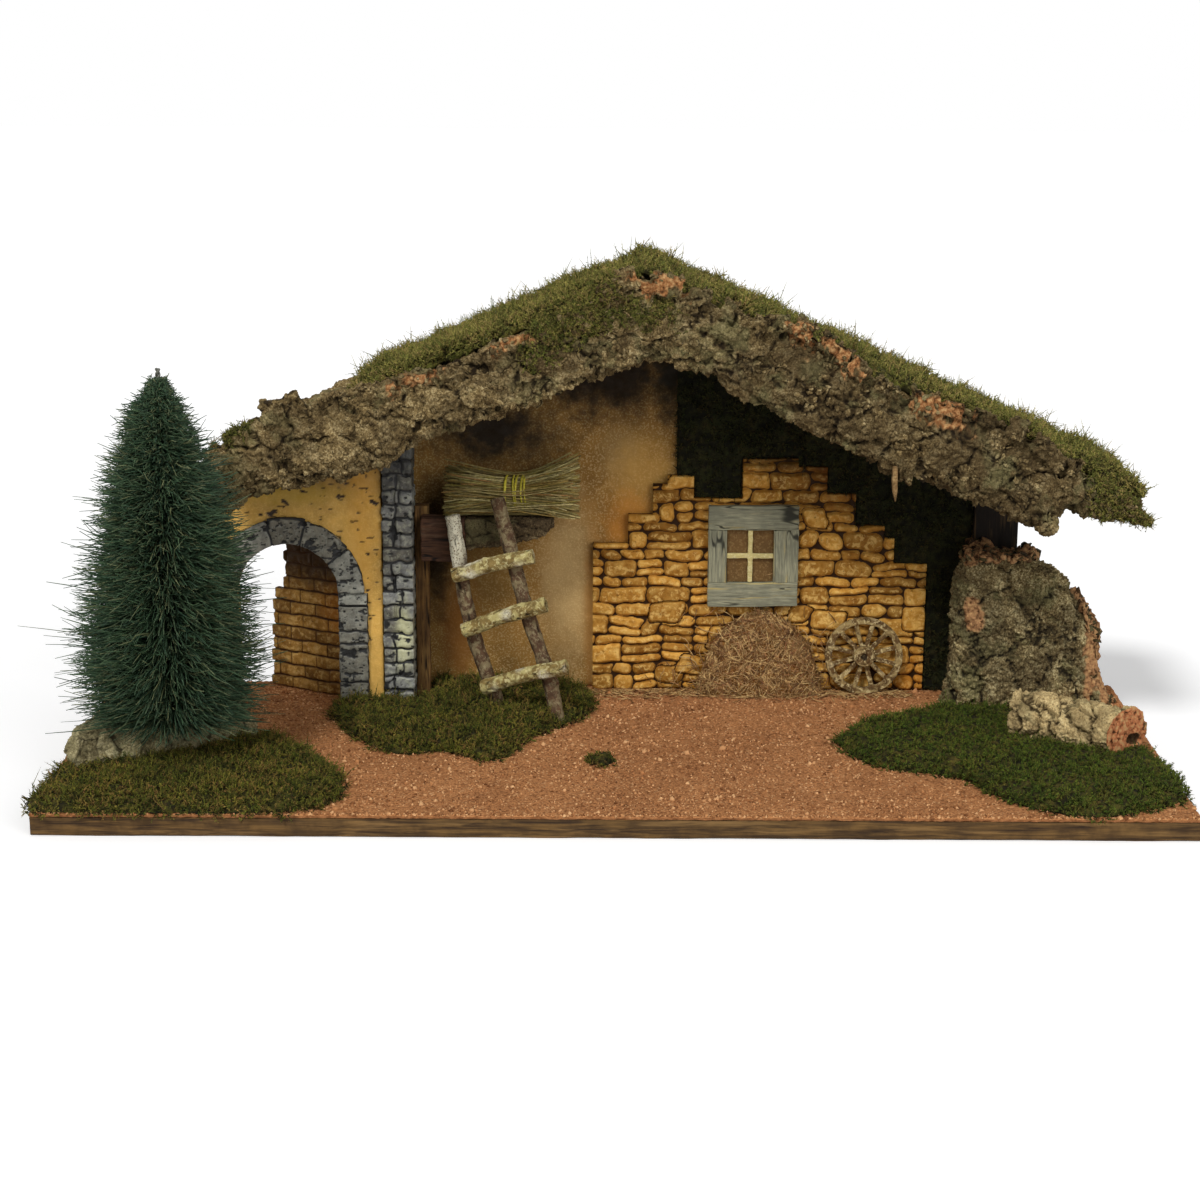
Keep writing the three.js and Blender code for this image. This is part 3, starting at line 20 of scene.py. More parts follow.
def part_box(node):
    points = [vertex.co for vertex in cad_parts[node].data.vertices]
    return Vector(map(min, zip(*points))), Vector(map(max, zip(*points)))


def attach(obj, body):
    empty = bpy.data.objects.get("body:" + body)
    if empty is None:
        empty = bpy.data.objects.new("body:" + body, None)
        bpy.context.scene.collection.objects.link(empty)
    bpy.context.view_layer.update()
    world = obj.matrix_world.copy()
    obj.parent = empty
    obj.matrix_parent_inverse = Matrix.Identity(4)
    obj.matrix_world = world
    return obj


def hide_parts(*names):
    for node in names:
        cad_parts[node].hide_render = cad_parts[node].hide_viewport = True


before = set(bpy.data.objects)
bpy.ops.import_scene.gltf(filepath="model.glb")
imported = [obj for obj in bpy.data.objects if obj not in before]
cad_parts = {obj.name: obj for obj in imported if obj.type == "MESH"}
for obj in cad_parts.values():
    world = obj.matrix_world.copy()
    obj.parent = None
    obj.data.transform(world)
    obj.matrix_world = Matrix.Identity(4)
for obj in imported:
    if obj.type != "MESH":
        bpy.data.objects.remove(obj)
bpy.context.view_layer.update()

MM = 0.001
LOG = logging.getLogger("stable")

Array = NDArray[np.float64]
Faces = NDArray[np.int64]
Colour = tuple[float, float, float]
Material = bpy.types.Material
Mask = Callable[[Array, Array], Array]

# The top of the granules, and the share of strands that a run makes
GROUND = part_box("ground_granules")[1].z / MM
PLENTY = 1.0
# How far moss may reach past the base and below the ground
PAST_BASE = 5.0
BELOW_GROUND = 4.0
# How unevenly crusts of bark hang down, and how closely the pane is woven
TOOTH = 5.0
WEAVE = 4.2


class Axis(Enum):
    """The direction in which a grain runs."""

    X = 0
    Y = 1
    Z = 2


def shade(code: str) -> Colour:
    """Turns a colour as a screen shows it into the linear numbers of a shader.

    Args:
        code: Its red, green and blue as pairs of hex digits.

    Returns:
        The linear colour.
    """
    parts = [part / 255 for part in bytes.fromhex(code)]
    red, green, blue = [p / 12.92 if p <= 0.04045 else ((p + 0.055) / 1.055) ** 2.4 for p in parts]
    return red, green, blue


def shades(codes: str) -> tuple[Colour, ...]:
    """Turns several colours, with a space between their codes, into linear numbers."""
    return tuple(shade(code) for code in codes.split())


@dataclass(frozen=True)
class Box:
    """The lowest and highest corner of a solid, in millimetres."""

    low: Array
    high: Array

    @staticmethod
    def of(*names: str) -> "Box":
        """Measures the solids of some nodes together.

        Args:
            names: The nodes.

        Returns:
            The box that holds them all.
        """
        corners = [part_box(name) for name in names]
        low = np.min([np.array(c[0]) for c in corners], axis=0) / MM
        high = np.max([np.array(c[1]) for c in corners], axis=0) / MM
        return Box(low, high)

    @property
    def middle(self) -> Array:
        """The centre of the box."""
        return (self.low + self.high) / 2

    @property
    def size(self) -> Array:
        """The lengths of its sides."""
        return self.high - self.low


def ease(low: float, high: float, value: Array) -> Array:
    """Rises smoothly from 0 at low to 1 at high."""
    share = np.clip((value - low) / (high - low), 0.0, 1.0)
    return share * share * (3 - 2 * share)


def from_joint(place: Array, pitch: float) -> Array:
    """Gives how far each place is from the nearest of the joints that come at that pitch."""
    return np.minimum(place % pitch, pitch - place % pitch)


def unit(vectors: Array) -> Array:
    """Gives each vector the length 1."""
    return vectors / np.maximum(np.linalg.norm(vectors, axis=-1, keepdims=True), 1e-9)


# Noise on points


def thrice(numbers: Array) -> Array:
    """Makes a cell of each number by taking it three times."""
    return np.stack([numbers] * 3, axis=1)


def lattice(cell: Array, seed: int) -> Array:
    """Draws a number from 0 to 1 for each whole-number cell of space.

    Args:
        cell: Cells, as rows of three whole numbers.
        seed: Which draw it is.

    Returns:
        One number for each row, the same each time.
    """
    whole = cell.astype(np.int64).astype(np.uint32)
    mixed = whole[..., 0] * np.uint32(0x8DA6B343) + whole[..., 1] * np.uint32(0xD8163841)
    mixed = mixed + whole[..., 2] * np.uint32(0xCB1AB31F)
    mixed = mixed + np.full_like(mixed, (seed * 0x9E3779B1) & 0xFFFFFFFF)
    mixed = (mixed ^ (mixed >> 15)) * np.uint32(0x85EBCA6B)
    mixed = (mixed ^ (mixed >> 13)) * np.uint32(0xC2B2AE35)
    return ((mixed ^ (mixed >> 16)) & np.uint32(0xFFFFFF)).astype(np.float64) / 0xFFFFFF


def noise(points: Array, size: float, seed: int = 0) -> Array:
    """Smooth noise from -1 to 1.

    Args:
        points: Places, as rows of three millimetre values.
        size: Width of its lumps.
        seed: Which draw it is.

    Returns:
        One value for each place.
    """
    scaled = points / size
    cell = np.floor(scaled)
    part = scaled - cell
    fade = part * part * (3 - 2 * part)
    total = np.zeros(len(points))
    for corner in product((0, 1), repeat=3):
        step = np.array(corner)
        weight = np.prod(np.where(step, fade, 1 - fade), axis=1)
        total += weight * lattice(cell + step, seed)
    return 2 * total - 1


def layered(points: Array, size: float, layers: int = 3, seed: int = 0) -> Array:
    """Noise with finer and weaker layers on top of it.

    Args:
        points: Places, as rows of three millimetre values.
        size: Width of its largest lumps.
        layers: How many layers it has.
        seed: Which draw it is.

    Returns:
        One value for each place, from about -1 to 1.
    """
    total = np.zeros(len(points))
    for layer in range(layers):
        total += noise(points, size / 2**layer, seed + 17 * layer) / 2**layer
    return total / 1.5


def cells(points: Array, size: float, seed: int = 0) -> tuple[Array, Array]:
    """Splits space into rounded blocks.

    Args:
        points: Places, as rows of three millimetre values.
        size: Width of a block.
        seed: Which draw it is.

    Returns:
        For each place how far inside its block it is, 0 at the crack, and the block's own number
        from 0 to 1.
    """
    scaled = points / size
    base = np.floor(scaled)
    first = np.full(len(points), 9.0)
    second = first.copy()
    number = np.zeros(len(points))
    for shift in product((-1, 0, 1), repeat=3):
        cell = base + np.array(shift)
        spot = cell + np.stack([lattice(cell, seed + k) for k in (1, 2, 3)], axis=1)
        gap = np.linalg.norm(spot - scaled, axis=1)
        closer = gap < first
        second = np.where(closer, first, np.minimum(second, gap))
        number = np.where(closer, lattice(cell, seed + 4), number)
        first = np.minimum(first, gap)
    return second - first, number


def wander(points: Array, size: float, reach: float, seed: int = 0) -> Array:
    """Moves places to and fro, by the reach at most and in bends as wide as the size."""
    return points + reach * np.stack([noise(points, size, seed + 31 * k) for k in range(3)], axis=1)


# Skins


@dataclass
class Skin:
    """A surface being made: its points, its faces and the values painted on its points."""

    points: Array
    faces: list[Faces]
    values: dict[str, Array] = field(default_factory=dict)

    @property
    def x(self) -> Array:
        """How far to the right each point is."""
        return self.points[:, 0]

    @property
    def y(self) -> Array:
        """How far back each point is."""
        return self.points[:, 1]

    @property
    def z(self) -> Array:
        """How high each point is."""
        return self.points[:, 2]

    def normals(self) -> Array:
        """Finds the outward directions.

        Returns:
            One for each point.
        """
        total = np.zeros_like(self.points)
        for faces in self.faces:
            corners = self.points[faces]
            last = 3 if faces.shape[1] > 3 else 2
            across = np.cross(corners[:, 2] - corners[:, 0], corners[:, last] - corners[:, 1])
            for k in range(faces.shape[1]):
                for axis in range(3):
                    total[:, axis] += np.bincount(faces[:, k], across[:, axis], len(total))
        return unit(total)

    def push(self, height: Array) -> None:
        """Moves each point outwards by its height."""
        self.points = self.points + self.normals() * height[:, None]

    def paint(self, **values: Array | float) -> None:
        """Paints values on the points, each one number for all or an array."""
        for name, value in values.items():
            self.values[name] = np.zeros(len(self.points)) + value

    def soften(self, rounds: int) -> None:
        """Evens the points out with their neighbours.

        Args:
            rounds: How often this is done.
        """
        ends = []
        for faces in self.faces:
            for k in range(faces.shape[1]):
                ends.append(np.stack([faces[:, k], faces[:, (k + 1) % faces.shape[1]]]))
        start, end = np.concatenate(ends, axis=1)
        count = np.bincount(start, minlength=len(self.points)) + np.bincount(
            end, minlength=len(self.points))
        for _ in range(rounds):
            total = np.zeros_like(self.points)
            for axis in range(3):
                total[:, axis] += np.bincount(start, self.points[end, axis], len(total))
                total[:, axis] += np.bincount(end, self.points[start, axis], len(total))
            self.points = (self.points + total / np.maximum(count, 1)[:, None]) / 2

    def kept(self, keep: Array) -> "Skin":
        """Makes the smaller skin of the faces whose points are all kept."""
        return self.with_faces([f[keep[f].all(axis=1)] for f in self.faces])

    def between(self, left: float, right: float) -> "Skin":
        """Makes the smaller skin of the faces whose middle lies between two X."""
        middles = [self.points[f, 0].mean(axis=1) for f in self.faces]
        return self.with_faces([f[(m >= left) & (m < right)] for f, m in zip(self.faces, middles)])

    def with_faces(self, faces: list[Faces]) -> "Skin":
        """Makes a skin of some of the faces.

        Args:
            faces: The faces that stay.

        Returns:
            The smaller skin, with only the points that they need.
        """
        used = np.unique(np.concatenate([f.ravel() for f in faces]))
        place = np.zeros(len(self.points), np.int64)
        place[used] = np.arange(len(used))
        values = {name: value[used] for name, value in self.values.items()}
        return Skin(self.points[used], [place[f] for f in faces], values)


def joined(skins: Sequence[Skin]) -> Skin:
    """Makes one skin of several, with the values that any of them has.

    Args:
        skins: The skins.

    Returns:
        The whole.
    """
    names = sorted({name for skin in skins for name in skin.values})
    faces: list[Faces] = []
    offset = 0
    for skin in skins:
        faces += [f + offset for f in skin.faces]
        offset += len(skin.points)
    values = {
        name: np.concatenate([s.values.get(name, np.zeros(len(s.points))) for s in skins])
        for name in names
    }
    return Skin(np.concatenate([s.points for s in skins]), faces, values)


def resurfaced(names: Sequence[str], voxel: float, smoothing: int = 2, reach: float = 0.0,
               blocks: Iterable[Matrix] = ()) -> Skin:
    """Covers the solids of some CAD nodes with one skin of small, even faces.

    Args:
        names: The nodes.
        voxel: Width of a face.
        smoothing: How often the skin is evened out.
        reach: How far the ends of each solid are drawn out in X, so that neighbours grow together.
        blocks: Lumps to merge with them, each as the matrix that makes it from a unit cube.

    Returns:
        The skin, a little rounder than the solids.
    """
    mesh = bpy.data.meshes.new("solids")
    source = bmesh.new()
    for name in names:
        known = len(source.verts)
        source.from_mesh(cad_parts[name].data)
        source.verts.ensure_lookup_table()
        low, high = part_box(name)
        for corner in source.verts[known:]:
            if corner.co.x > high.x - 0.2 * MM:
                corner.co.x += reach * MM
            elif corner.co.x < low.x + 0.2 * MM:
                corner.co.x -= reach * MM
    for block in blocks:
        bmesh.ops.create_cube(source, size=1.0, matrix=block)
    bmesh.ops.remove_doubles(source, verts=source.verts, dist=1e-6)
    source.to_mesh(mesh)
    source.free()
    holder = placed("solids", mesh)
    remesh = holder.modifiers.new("Remesh", "REMESH")
    remesh.mode = "VOXEL"
    remesh.voxel_size = voxel * MM
    graph = bpy.context.evaluated_depsgraph_get()
    evaluated = holder.evaluated_get(graph)
    made = evaluated.to_mesh()
    points = np.zeros(len(made.vertices) * 3, np.float32)
    made.vertices.foreach_get("co", points)
    corners = np.zeros(len(made.loops), np.int32)
    made.loops.foreach_get("vertex_index", corners)
    evaluated.to_mesh_clear()
    bpy.data.objects.remove(holder)
    bpy.data.meshes.remove(mesh)
    faces = corners.reshape(-1, 4).astype(np.int64)
    skin = Skin(points.reshape(-1, 3).astype(np.float64) / MM, [faces])
    skin.soften(smoothing)
    return skin


def planed(box: Box, pitch: float, rounding: float) -> Skin:
    """Makes a board with rounded edges.

    Args:
        box: Its outer size and place.
        pitch: Width of its faces.
        rounding: Radius of its edges.

    Returns:
        The board.
    """
    lines = []
    for low, high in zip(box.low, box.high):
        count = max(2, round((high - low) / pitch) + 1)
        even = np.linspace(low, high, count)
        near = [low + rounding * s for s in (0.3, 1)] + [high - rounding * s for s in (0.3, 1)]
        lines.append(np.unique(np.round(np.concatenate([even, near]), 4)))
    counts = [len(line) for line in lines]
    faces = []
    for axis in range(3):
        first, second = [a for a in range(3) if a != axis]
        u, v = np.meshgrid(range(counts[first] - 1), range(counts[second] - 1), indexing="ij")
        for end in (0, counts[axis] - 1):
            corner = np.zeros((u.size, 4, 3), np.int64)
            corner[:, :, axis] = end
            steps = [(0, 0), (1, 0), (1, 1), (0, 1)]
            if (end == 0) == (axis != 1):
                steps.reverse()
            for k, (du, dv) in enumerate(steps):
                corner[:, k, first] = u.ravel() + du
                corner[:, k, second] = v.ravel() + dv
            faces.append((corner[..., 0] * counts[1] + corner[..., 1]) * counts[2] + corner[..., 2])
    used, numbered = np.unique(np.concatenate(faces), return_inverse=True)
    i, rest = np.divmod(used, counts[1] * counts[2])
    j, k = np.divmod(rest, counts[2])
    points = np.stack([lines[0][i], lines[1][j], lines[2][k]], axis=1)
    inner = np.clip(points, box.low + rounding, box.high - rounding)
    points = inner + rounding * unit(points - inner)
    return Skin(points, [numbered.reshape(-1, 4)])


def sheet_of(left: float, right: float, bottom: float, top: float, pitch: float,
             inside: Mask, back: float) -> Skin:
    """Makes an upright sheet with a skirt to the plane behind it; its front is at Y 0.

    Args:
        left: Left end.
        right: Right end.
        bottom: Lower end.
        top: Upper end.
        pitch: Width of its faces.
        inside: Says for the X and Z of a face's middle whether it is part of the sheet.
        back: Y of the plane behind, above 0.

    Returns:
        The sheet, with the value "rim" 1 on its back points.
    """
    columns = round((right - left) / pitch)
    rows = round((top - bottom) / pitch)
    x, z = np.meshgrid(np.linspace(left, right, columns + 1), np.linspace(bottom, top, rows + 1),
                       indexing="ij")
    middle_x = (x[:-1, :-1] + x[1:, 1:]) / 2
    middle_z = (z[:-1, :-1] + z[1:, 1:]) / 2
    full = np.zeros((columns + 2, rows + 2), bool)
    full[1:-1, 1:-1] = inside(middle_x.ravel(), middle_z.ravel()).reshape(columns, rows)
    number = np.arange(x.size).reshape(x.shape)
    behind = number + x.size
    i, j = np.nonzero(full[1:-1, 1:-1])
    faces = [np.stack([number[i, j], number[i + 1, j], number[i + 1, j + 1], number[i, j + 1]], 1)]
    sides = (((-1, 0), (0, 0), (0, 1)), ((1, 0), (1, 1), (1, 0)), ((0, -1), (1, 0), (0, 0)),
             ((0, 1), (0, 1), (1, 1)))
    for (di, dj), start, end in sides:
        open_side = ~full[i + 1 + di, j + 1 + dj]
        a = (i[open_side] + start[0], j[open_side] + start[1])
        b = (i[open_side] + end[0], j[open_side] + end[1])
        faces.append(np.stack([number[a], number[b], behind[b], behind[a]], axis=1))
    front = np.stack([x.ravel(), np.zeros(x.size), z.ravel()], axis=1)
    rear = front + np.array([0.0, back, 0.0])
    rim = np.concatenate([np.zeros(x.size), np.ones(x.size)])
    skin = Skin(np.concatenate([front, rear]), [np.concatenate(faces)], {"rim": rim})
    return skin.kept(np.ones(len(skin.points), bool))


def scattered(skin: Skin, count: int, seed: int, mask: Mask | None = None) -> tuple[Array, Array]:
    """Picks places on a skin.

    Args:
        skin: The skin.
        count: How many places are tried.
        seed: Which draw it is.
        mask: Says for a place and its normal whether it is kept.

    Returns:
        The places and the outward directions there.
    """
    draw = np.random.default_rng(seed)
    faces = skin.faces[0][draw.integers(len(skin.faces[0]), size=count)]
    weights = draw.dirichlet(np.ones(faces.shape[1]), size=count)[..., None]
    places = (skin.points[faces] * weights).sum(axis=1)
    normals = unit((skin.normals()[faces] * weights).sum(axis=1))
    keep = np.ones(count, bool) if mask is None else mask(places, normals)
    return places[keep], normals[keep]


def tubes(paths: Array, radii: Array, sides: int = 3, squash: float = 1.0) -> Skin:
    """Makes closed strands along many paths at once.

    Args:
        paths: Points along each strand, as strands by points by three.
        radii: Radius at each of those points.
        sides: Sides of a strand.
        squash: Thickness of a strand as a share of its width.

    Returns:
        The strands, with the values "along" from 0 to 1 and "tone", one number for each strand.
    """
    count, steps, _ = paths.shape
    along = unit(np.gradient(paths, axis=1))
    reach = unit(paths[:, -1] - paths[:, 0])
    upright = np.abs(reach[:, 2:]) > 0.8
    helper = np.where(upright, np.array([[1.0, 0, 0]]), np.array([[0, 0, 1.0]]))
    side = unit(np.cross(along, helper[:, None]))
    up = np.cross(side, along)
    angle = 2 * np.pi * np.arange(sides) / sides
    spoke = side[:, :, None] * np.cos(angle)[:, None] + squash * up[:, :, None] * np.sin(angle)[:, None]
    points = paths[:, :, None] + spoke * radii[:, :, None, None]
    index = np.arange(points.size // 3).reshape(count, steps, sides)
    low, high = index[:, :-1], index[:, 1:]
    walls = np.stack([low, np.roll(low, -1, axis=2), np.roll(high, -1, axis=2), high], axis=-1)
    fans = [np.stack([index[:, -1, 0], index[:, -1, k], index[:, -1, k + 1]], axis=1)
            for k in range(1, sides - 1)]
    fans += [np.stack([index[:, 0, 0], index[:, 0, k + 1], index[:, 0, k]], axis=1)
             for k in range(1, sides - 1)]
    shares = np.broadcast_to(np.linspace(0, 1, steps)[:, None], (count, steps, sides))
    tones = np.broadcast_to(
        lattice(thrice(np.arange(count)), 5)[:, None, None], (count, steps, sides))
    values = {"along": shares.ravel(), "tone": tones.ravel()}
    return Skin(points.reshape(-1, 3), [walls.reshape(-1, 4), np.concatenate(fans)], values)


def add_piece(name: str, skin: Skin, material: Material,
              nodes: Sequence[str] = (), smooth: bool = True) -> bpy.types.Object:
    """Makes a piece of the stable from a skin, in its place.

    Args:
        name: Name of the piece.
        skin: Its surface.
        material: Its finish.
        nodes: The CAD nodes that it stands for.
        smooth: Whether its faces are shaded round.

    Returns:
        The piece.
    """
    mesh = bpy.data.meshes.new(name)
    mesh.vertices.add(len(skin.points))
    mesh.vertices.foreach_set("co", (skin.points * MM).astype(np.float32).ravel())
    corners = np.concatenate([faces.ravel() for faces in skin.faces]).astype(np.int32)
    mesh.loops.add(len(corners))
    mesh.loops.foreach_set("vertex_index", corners)
    lengths = np.concatenate([np.full(len(faces), faces.shape[1]) for faces in skin.faces])
    mesh.polygons.add(len(lengths))
    starts = np.concatenate([[0], np.cumsum(lengths)[:-1]]).astype(np.int32)
    mesh.polygons.foreach_set("loop_start", starts)
    for key, value in skin.values.items():
        layer = mesh.attributes.new(key, "FLOAT", "POINT")
        layer.data.foreach_set("value", value.astype(np.float32))
    mesh.update(calc_edges=True)
    mesh.validate()
    if smooth:
        mesh.shade_smooth()
    mesh.materials.append(material)
    piece = placed(name, mesh)
    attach(piece, "root")
    if nodes:
        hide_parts(*nodes)
    LOG.info("%s: %d faces", name, len(lengths))
    return piece


def placed(name: str, data: bpy.types.ID) -> bpy.types.Object:
    """Puts an object into the scene.

    Args:
        name: Its name.
        data: Its mesh, lamp or camera.

    Returns:
        The object.
    """
    made = bpy.data.objects.new(name, data)
    bpy.context.scene.collection.objects.link(made)
    return made


def corners_of(*names: str) -> Array:
    """Gives the corner points of the solids of some nodes, in millimetres."""
    return np.array([v.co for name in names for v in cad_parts[name].data.vertices]) / MM


def dress_node(name: str, material: Material) -> None:
    """Gives a CAD node that stays in view its finish.

    Args:
        name: The node.
        material: Its finish.
    """
    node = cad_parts[name]
    node.data.materials.clear()
    node.data.materials.append(material)
    LOG.info("%s: CAD node kept", name)


# Finishes

Socket = bpy.types.NodeSocket
Input = Socket | float | Colour


class Recipe:
    """The nodes of one material or surround, with short ways to add them."""

    def __init__(self, owner: str | bpy.types.World) -> None:
        """Starts without nodes.

        Args:
            owner: Name of a new material, or the surround.
        """
        self.material = bpy.data.materials.new(owner) if isinstance(owner, str) else owner
        self.material.use_nodes = True
        self.tree = self.material.node_tree
        self.tree.nodes.clear()
        self.place = self.add("ShaderNodeTexCoord").outputs["Object"]

    def add(self, kind: str, inputs: dict[str | int, Input] | None = None,
            **settings: object) -> bpy.types.Node:
        """Adds a node.

        Args:
            kind: Its kind.
            inputs: What its inputs are joined to or set to.
            settings: Its properties.

        Returns:
            The node.
        """
        node = self.tree.nodes.new(kind)
        for key, value in settings.items():
            setattr(node, key, value)
        for key, value in (inputs or {}).items():
            self.plug(node.inputs[key], value)
        return node

    def plug(self, socket: Socket, value: Input) -> None:
        """Joins a value to a socket, or sets the socket to it.

        Args:
            socket: The socket.
            value: An output of another node, a number or a colour.
        """
        if isinstance(value, bpy.types.NodeSocket):
            self.tree.links.new(value, socket)
        elif isinstance(value, tuple) and socket.type == "RGBA":
            socket.default_value = (*value, 1.0)
        else:
            socket.default_value = value

    def stretched(self, stretch: Sequence[float]) -> Socket:
        """Gives the place with each axis drawn together by its factor."""
        return self.add("ShaderNodeMapping", {"Vector": self.place, "Scale": stretch}).outputs["Vector"]

    def noise(self, size: float, detail: float = 3.0, stretch: Sequence[float] = (1, 1, 1),
              distortion: float = 0.0) -> Socket:
        """Adds noise.

        Args:
            size: Width of its lumps in millimetres.
            detail: How many finer layers it has.
            stretch: Factors for the three axes; a small one draws the lumps out along it.
            distortion: How much it is warped.

        Returns:
            Its value, from about 0.25 to 0.75.
        """
        node = self.add("ShaderNodeTexNoise", {
            "Vector": self.stretched(stretch), "Scale": 1 / (size * MM), "Detail": detail,
            "Roughness": 0.6, "Distortion": distortion})
        return node.outputs["Fac"]

    def value(self, name: str) -> Socket:
        """Gives a value painted on the points."""
        return self.add("ShaderNodeAttribute", attribute_name=name).outputs["Fac"]

    def sum(self, kind: str, first: Input, second: Input = 0.0) -> Socket:
        """Adds a sum of that kind, such as ADD or MULTIPLY, held between 0 and 1."""
        return self.add("ShaderNodeMath", {0: first, 1: second}, operation=kind, use_clamp=True).outputs[0]

    def grain(self, *layers: tuple[float, float, float]) -> Socket:
        """Adds up two layers of noise, each with its size, its detail and its share."""
        parts = [self.sum("MULTIPLY", self.noise(size, detail), share) for size, detail, share in layers]
        return self.sum("ADD", *parts)

    def window(self, value: Socket, low: float, high: float) -> Socket:
        """Gives 0 below low and 1 above high, and rises smoothly between them."""
        inputs = {"Value": value, "From Min": low, "From Max": high}
        return self.add("ShaderNodeMapRange", inputs, interpolation_type="SMOOTHSTEP").outputs["Result"]

    def cloudy(self, size: float, detail: float, low: float, high: float, distortion: float = 0.0) -> Socket:
        """Gives the window between low and high of noise of that size."""
        return self.window(self.noise(size, detail, distortion=distortion), low, high)

    def ramp(self, value: Socket, stops: Sequence[tuple[float, Colour]]) -> Socket:
        """Turns a value into a colour.

        Args:
            value: The value.
            stops: Places from 0 to 1 with their colours.

        Returns:
            The colour.
        """
        node = self.add("ShaderNodeValToRGB", {"Fac": value})
        elements = node.color_ramp.elements
        while len(elements) < len(stops):
            elements.new(0.5)
        for element, (position, colour) in zip(elements, stops):
            element.position = position
            element.color = (*colour, 1.0)
        return node.outputs["Color"]

    def mix(self, share: Input, first: Input, second: Input, blend: str = "MIX") -> Socket:
        """Blends that share of the second colour into the first, in the way that blend names."""
        node = self.add("ShaderNodeMix", {0: share, 6: first, 7: second}, data_type="RGBA", blend_type=blend)
        return node.outputs[2]

    def tint(self, colour: Input, other: Input, mask: Input, share: Input) -> Socket:
        """Blends another colour into a colour where the mask is, with that share at most."""
        return self.mix(self.sum("MULTIPLY", mask, share), colour, other)

    def bump(self, height: Socket, depth: float, strength: float = 1.0) -> Socket:
        """Bends the normal as a height from 0 to 1 does, of which 1 is that depth in millimetres."""
        node = self.add("ShaderNodeBump", {"Strength": strength, "Distance": depth * MM, "Height": height})
        return node.outputs["Normal"]

    def done(self, colour: Input, roughness: Input, normal: Socket | None = None,
             specular: float = 0.3) -> Material:
        """Ends the material in a surface shader.

        Args:
            colour: Its colour.
            roughness: Its roughness.
            normal: Its bent normal.
            specular: Strength of its gloss.

        Returns:
            The material.
        """
        shader = self.add("ShaderNodeBsdfPrincipled", {
            "Base Color": colour, "Roughness": roughness, "Specular IOR Level": specular})
        if normal is not None:
            self.plug(shader.inputs["Normal"], normal)
        self.add("ShaderNodeOutputMaterial", {"Surface": shader.outputs["BSDF"]})
        return self.material


@dataclass(frozen=True)
class BarkFinish:
    """Virgin cork bark: crusts, dark cracks with painted shade in them, lichen, and fresh cut patches."""

    name: str = "bark"
    dark: Colour = shade("4a3c26")
    middle: Colour = shade("84724e")
    light: Colour = shade("beae86")
    lichen: Colour = shade("686a46")
    crack: Colour = shade("1c140b")
    cut: Colour = shade("92623a")
    lichen_share: float = 0.4

    def make(self) -> Material:
        """Builds the material.

        Returns:
            The material.
        """
        r = Recipe(self.name)
        worn = r.grain((9, 5, 0.42), (1.3, 4, 0.58))
        colour = r.ramp(worn, [(0.36, self.dark), (0.5, self.middle), (0.63, self.light)])
        tone = r.ramp(r.value("tone"), [(0.0, shade("968e82")), (0.6, shade("fffaf0"))])
        colour = r.mix(1.0, colour, tone, "MULTIPLY")
        lichen = r.cloudy(24, 4, 0.5, 0.62)
        colour = r.tint(colour, self.lichen, lichen, self.lichen_share)
        shadow = r.cloudy(34, 3, 0.56, 0.42)
        colour = r.tint(colour, self.dark, shadow, 0.45)
        pit = r.cloudy(1.0, 3, 0.45, 0.34, 0.6)
        colour = r.tint(colour, self.crack, pit, 0.7)
        fresh = r.ramp(r.noise(3, 7), [
            (0.34, shade("422a16")), (0.48, self.cut), (0.62, shade("ba9262"))])
        colour = r.mix(r.value("cut"), colour, fresh)
        # Painted shade: the cracks and hollows that the relief marks as low are darkened, over the crack's
        # own darker colour.
        depth = r.window(r.value("cavity"), 0.62, 0.18)
        colour = r.tint(colour, self.crack, depth, 0.93)
        grain = r.grain((0.9, 4, 0.6), (3.5, 4, 0.4))
        return r.done(colour, 0.95, r.bump(grain, 1.3, 0.9), 0.15)


@dataclass(frozen=True)
class MossFinish:
    """Dried and dyed moss: fronds dark at the root, partly as painted shade, and lighter at the tip."""

    name: str
    root: Colour = shade("1e1c09")
    tip: Colour = shade("706c2c")
    green: Colour = shade("425018")
    dry: Colour = shade("786438")

    def make(self) -> Material:
        """Builds the material.

        Returns:
            The material.
        """
        r = Recipe(self.name)
        hue = r.ramp(r.value("tone"), [(0.0, self.green), (0.55, self.tip), (1.0, self.dry)])
        drift = r.cloudy(17, 3, 0.4, 0.62)
        hue = r.tint(hue, self.green, drift, 0.55)
        colour = r.mix(r.window(r.value("along"), 0.0, 0.75), self.root, hue)
        fleck = r.noise(0.8, 2)
        colour = r.mix(r.window(fleck, 0.5, 0.34), colour, self.root)
        # Clouds of the root colour: painted shade in the hollows of the mat.
        hollow_shade = r.cloudy(8, 3, 0.52, 0.36)
        colour = r.tint(colour, self.root, hollow_shade, 0.5)
        return r.done(colour, 0.9, r.bump(r.noise(0.7, 3), 0.5), 0.2)


@dataclass(frozen=True)
class Spot:
    """A soft cloud of paint on a wall; some stand for airbrushing, others for painted shade."""

    x: float
    z: float
    width: float
    height: float
    colour: Colour
    cover: float = 0.8


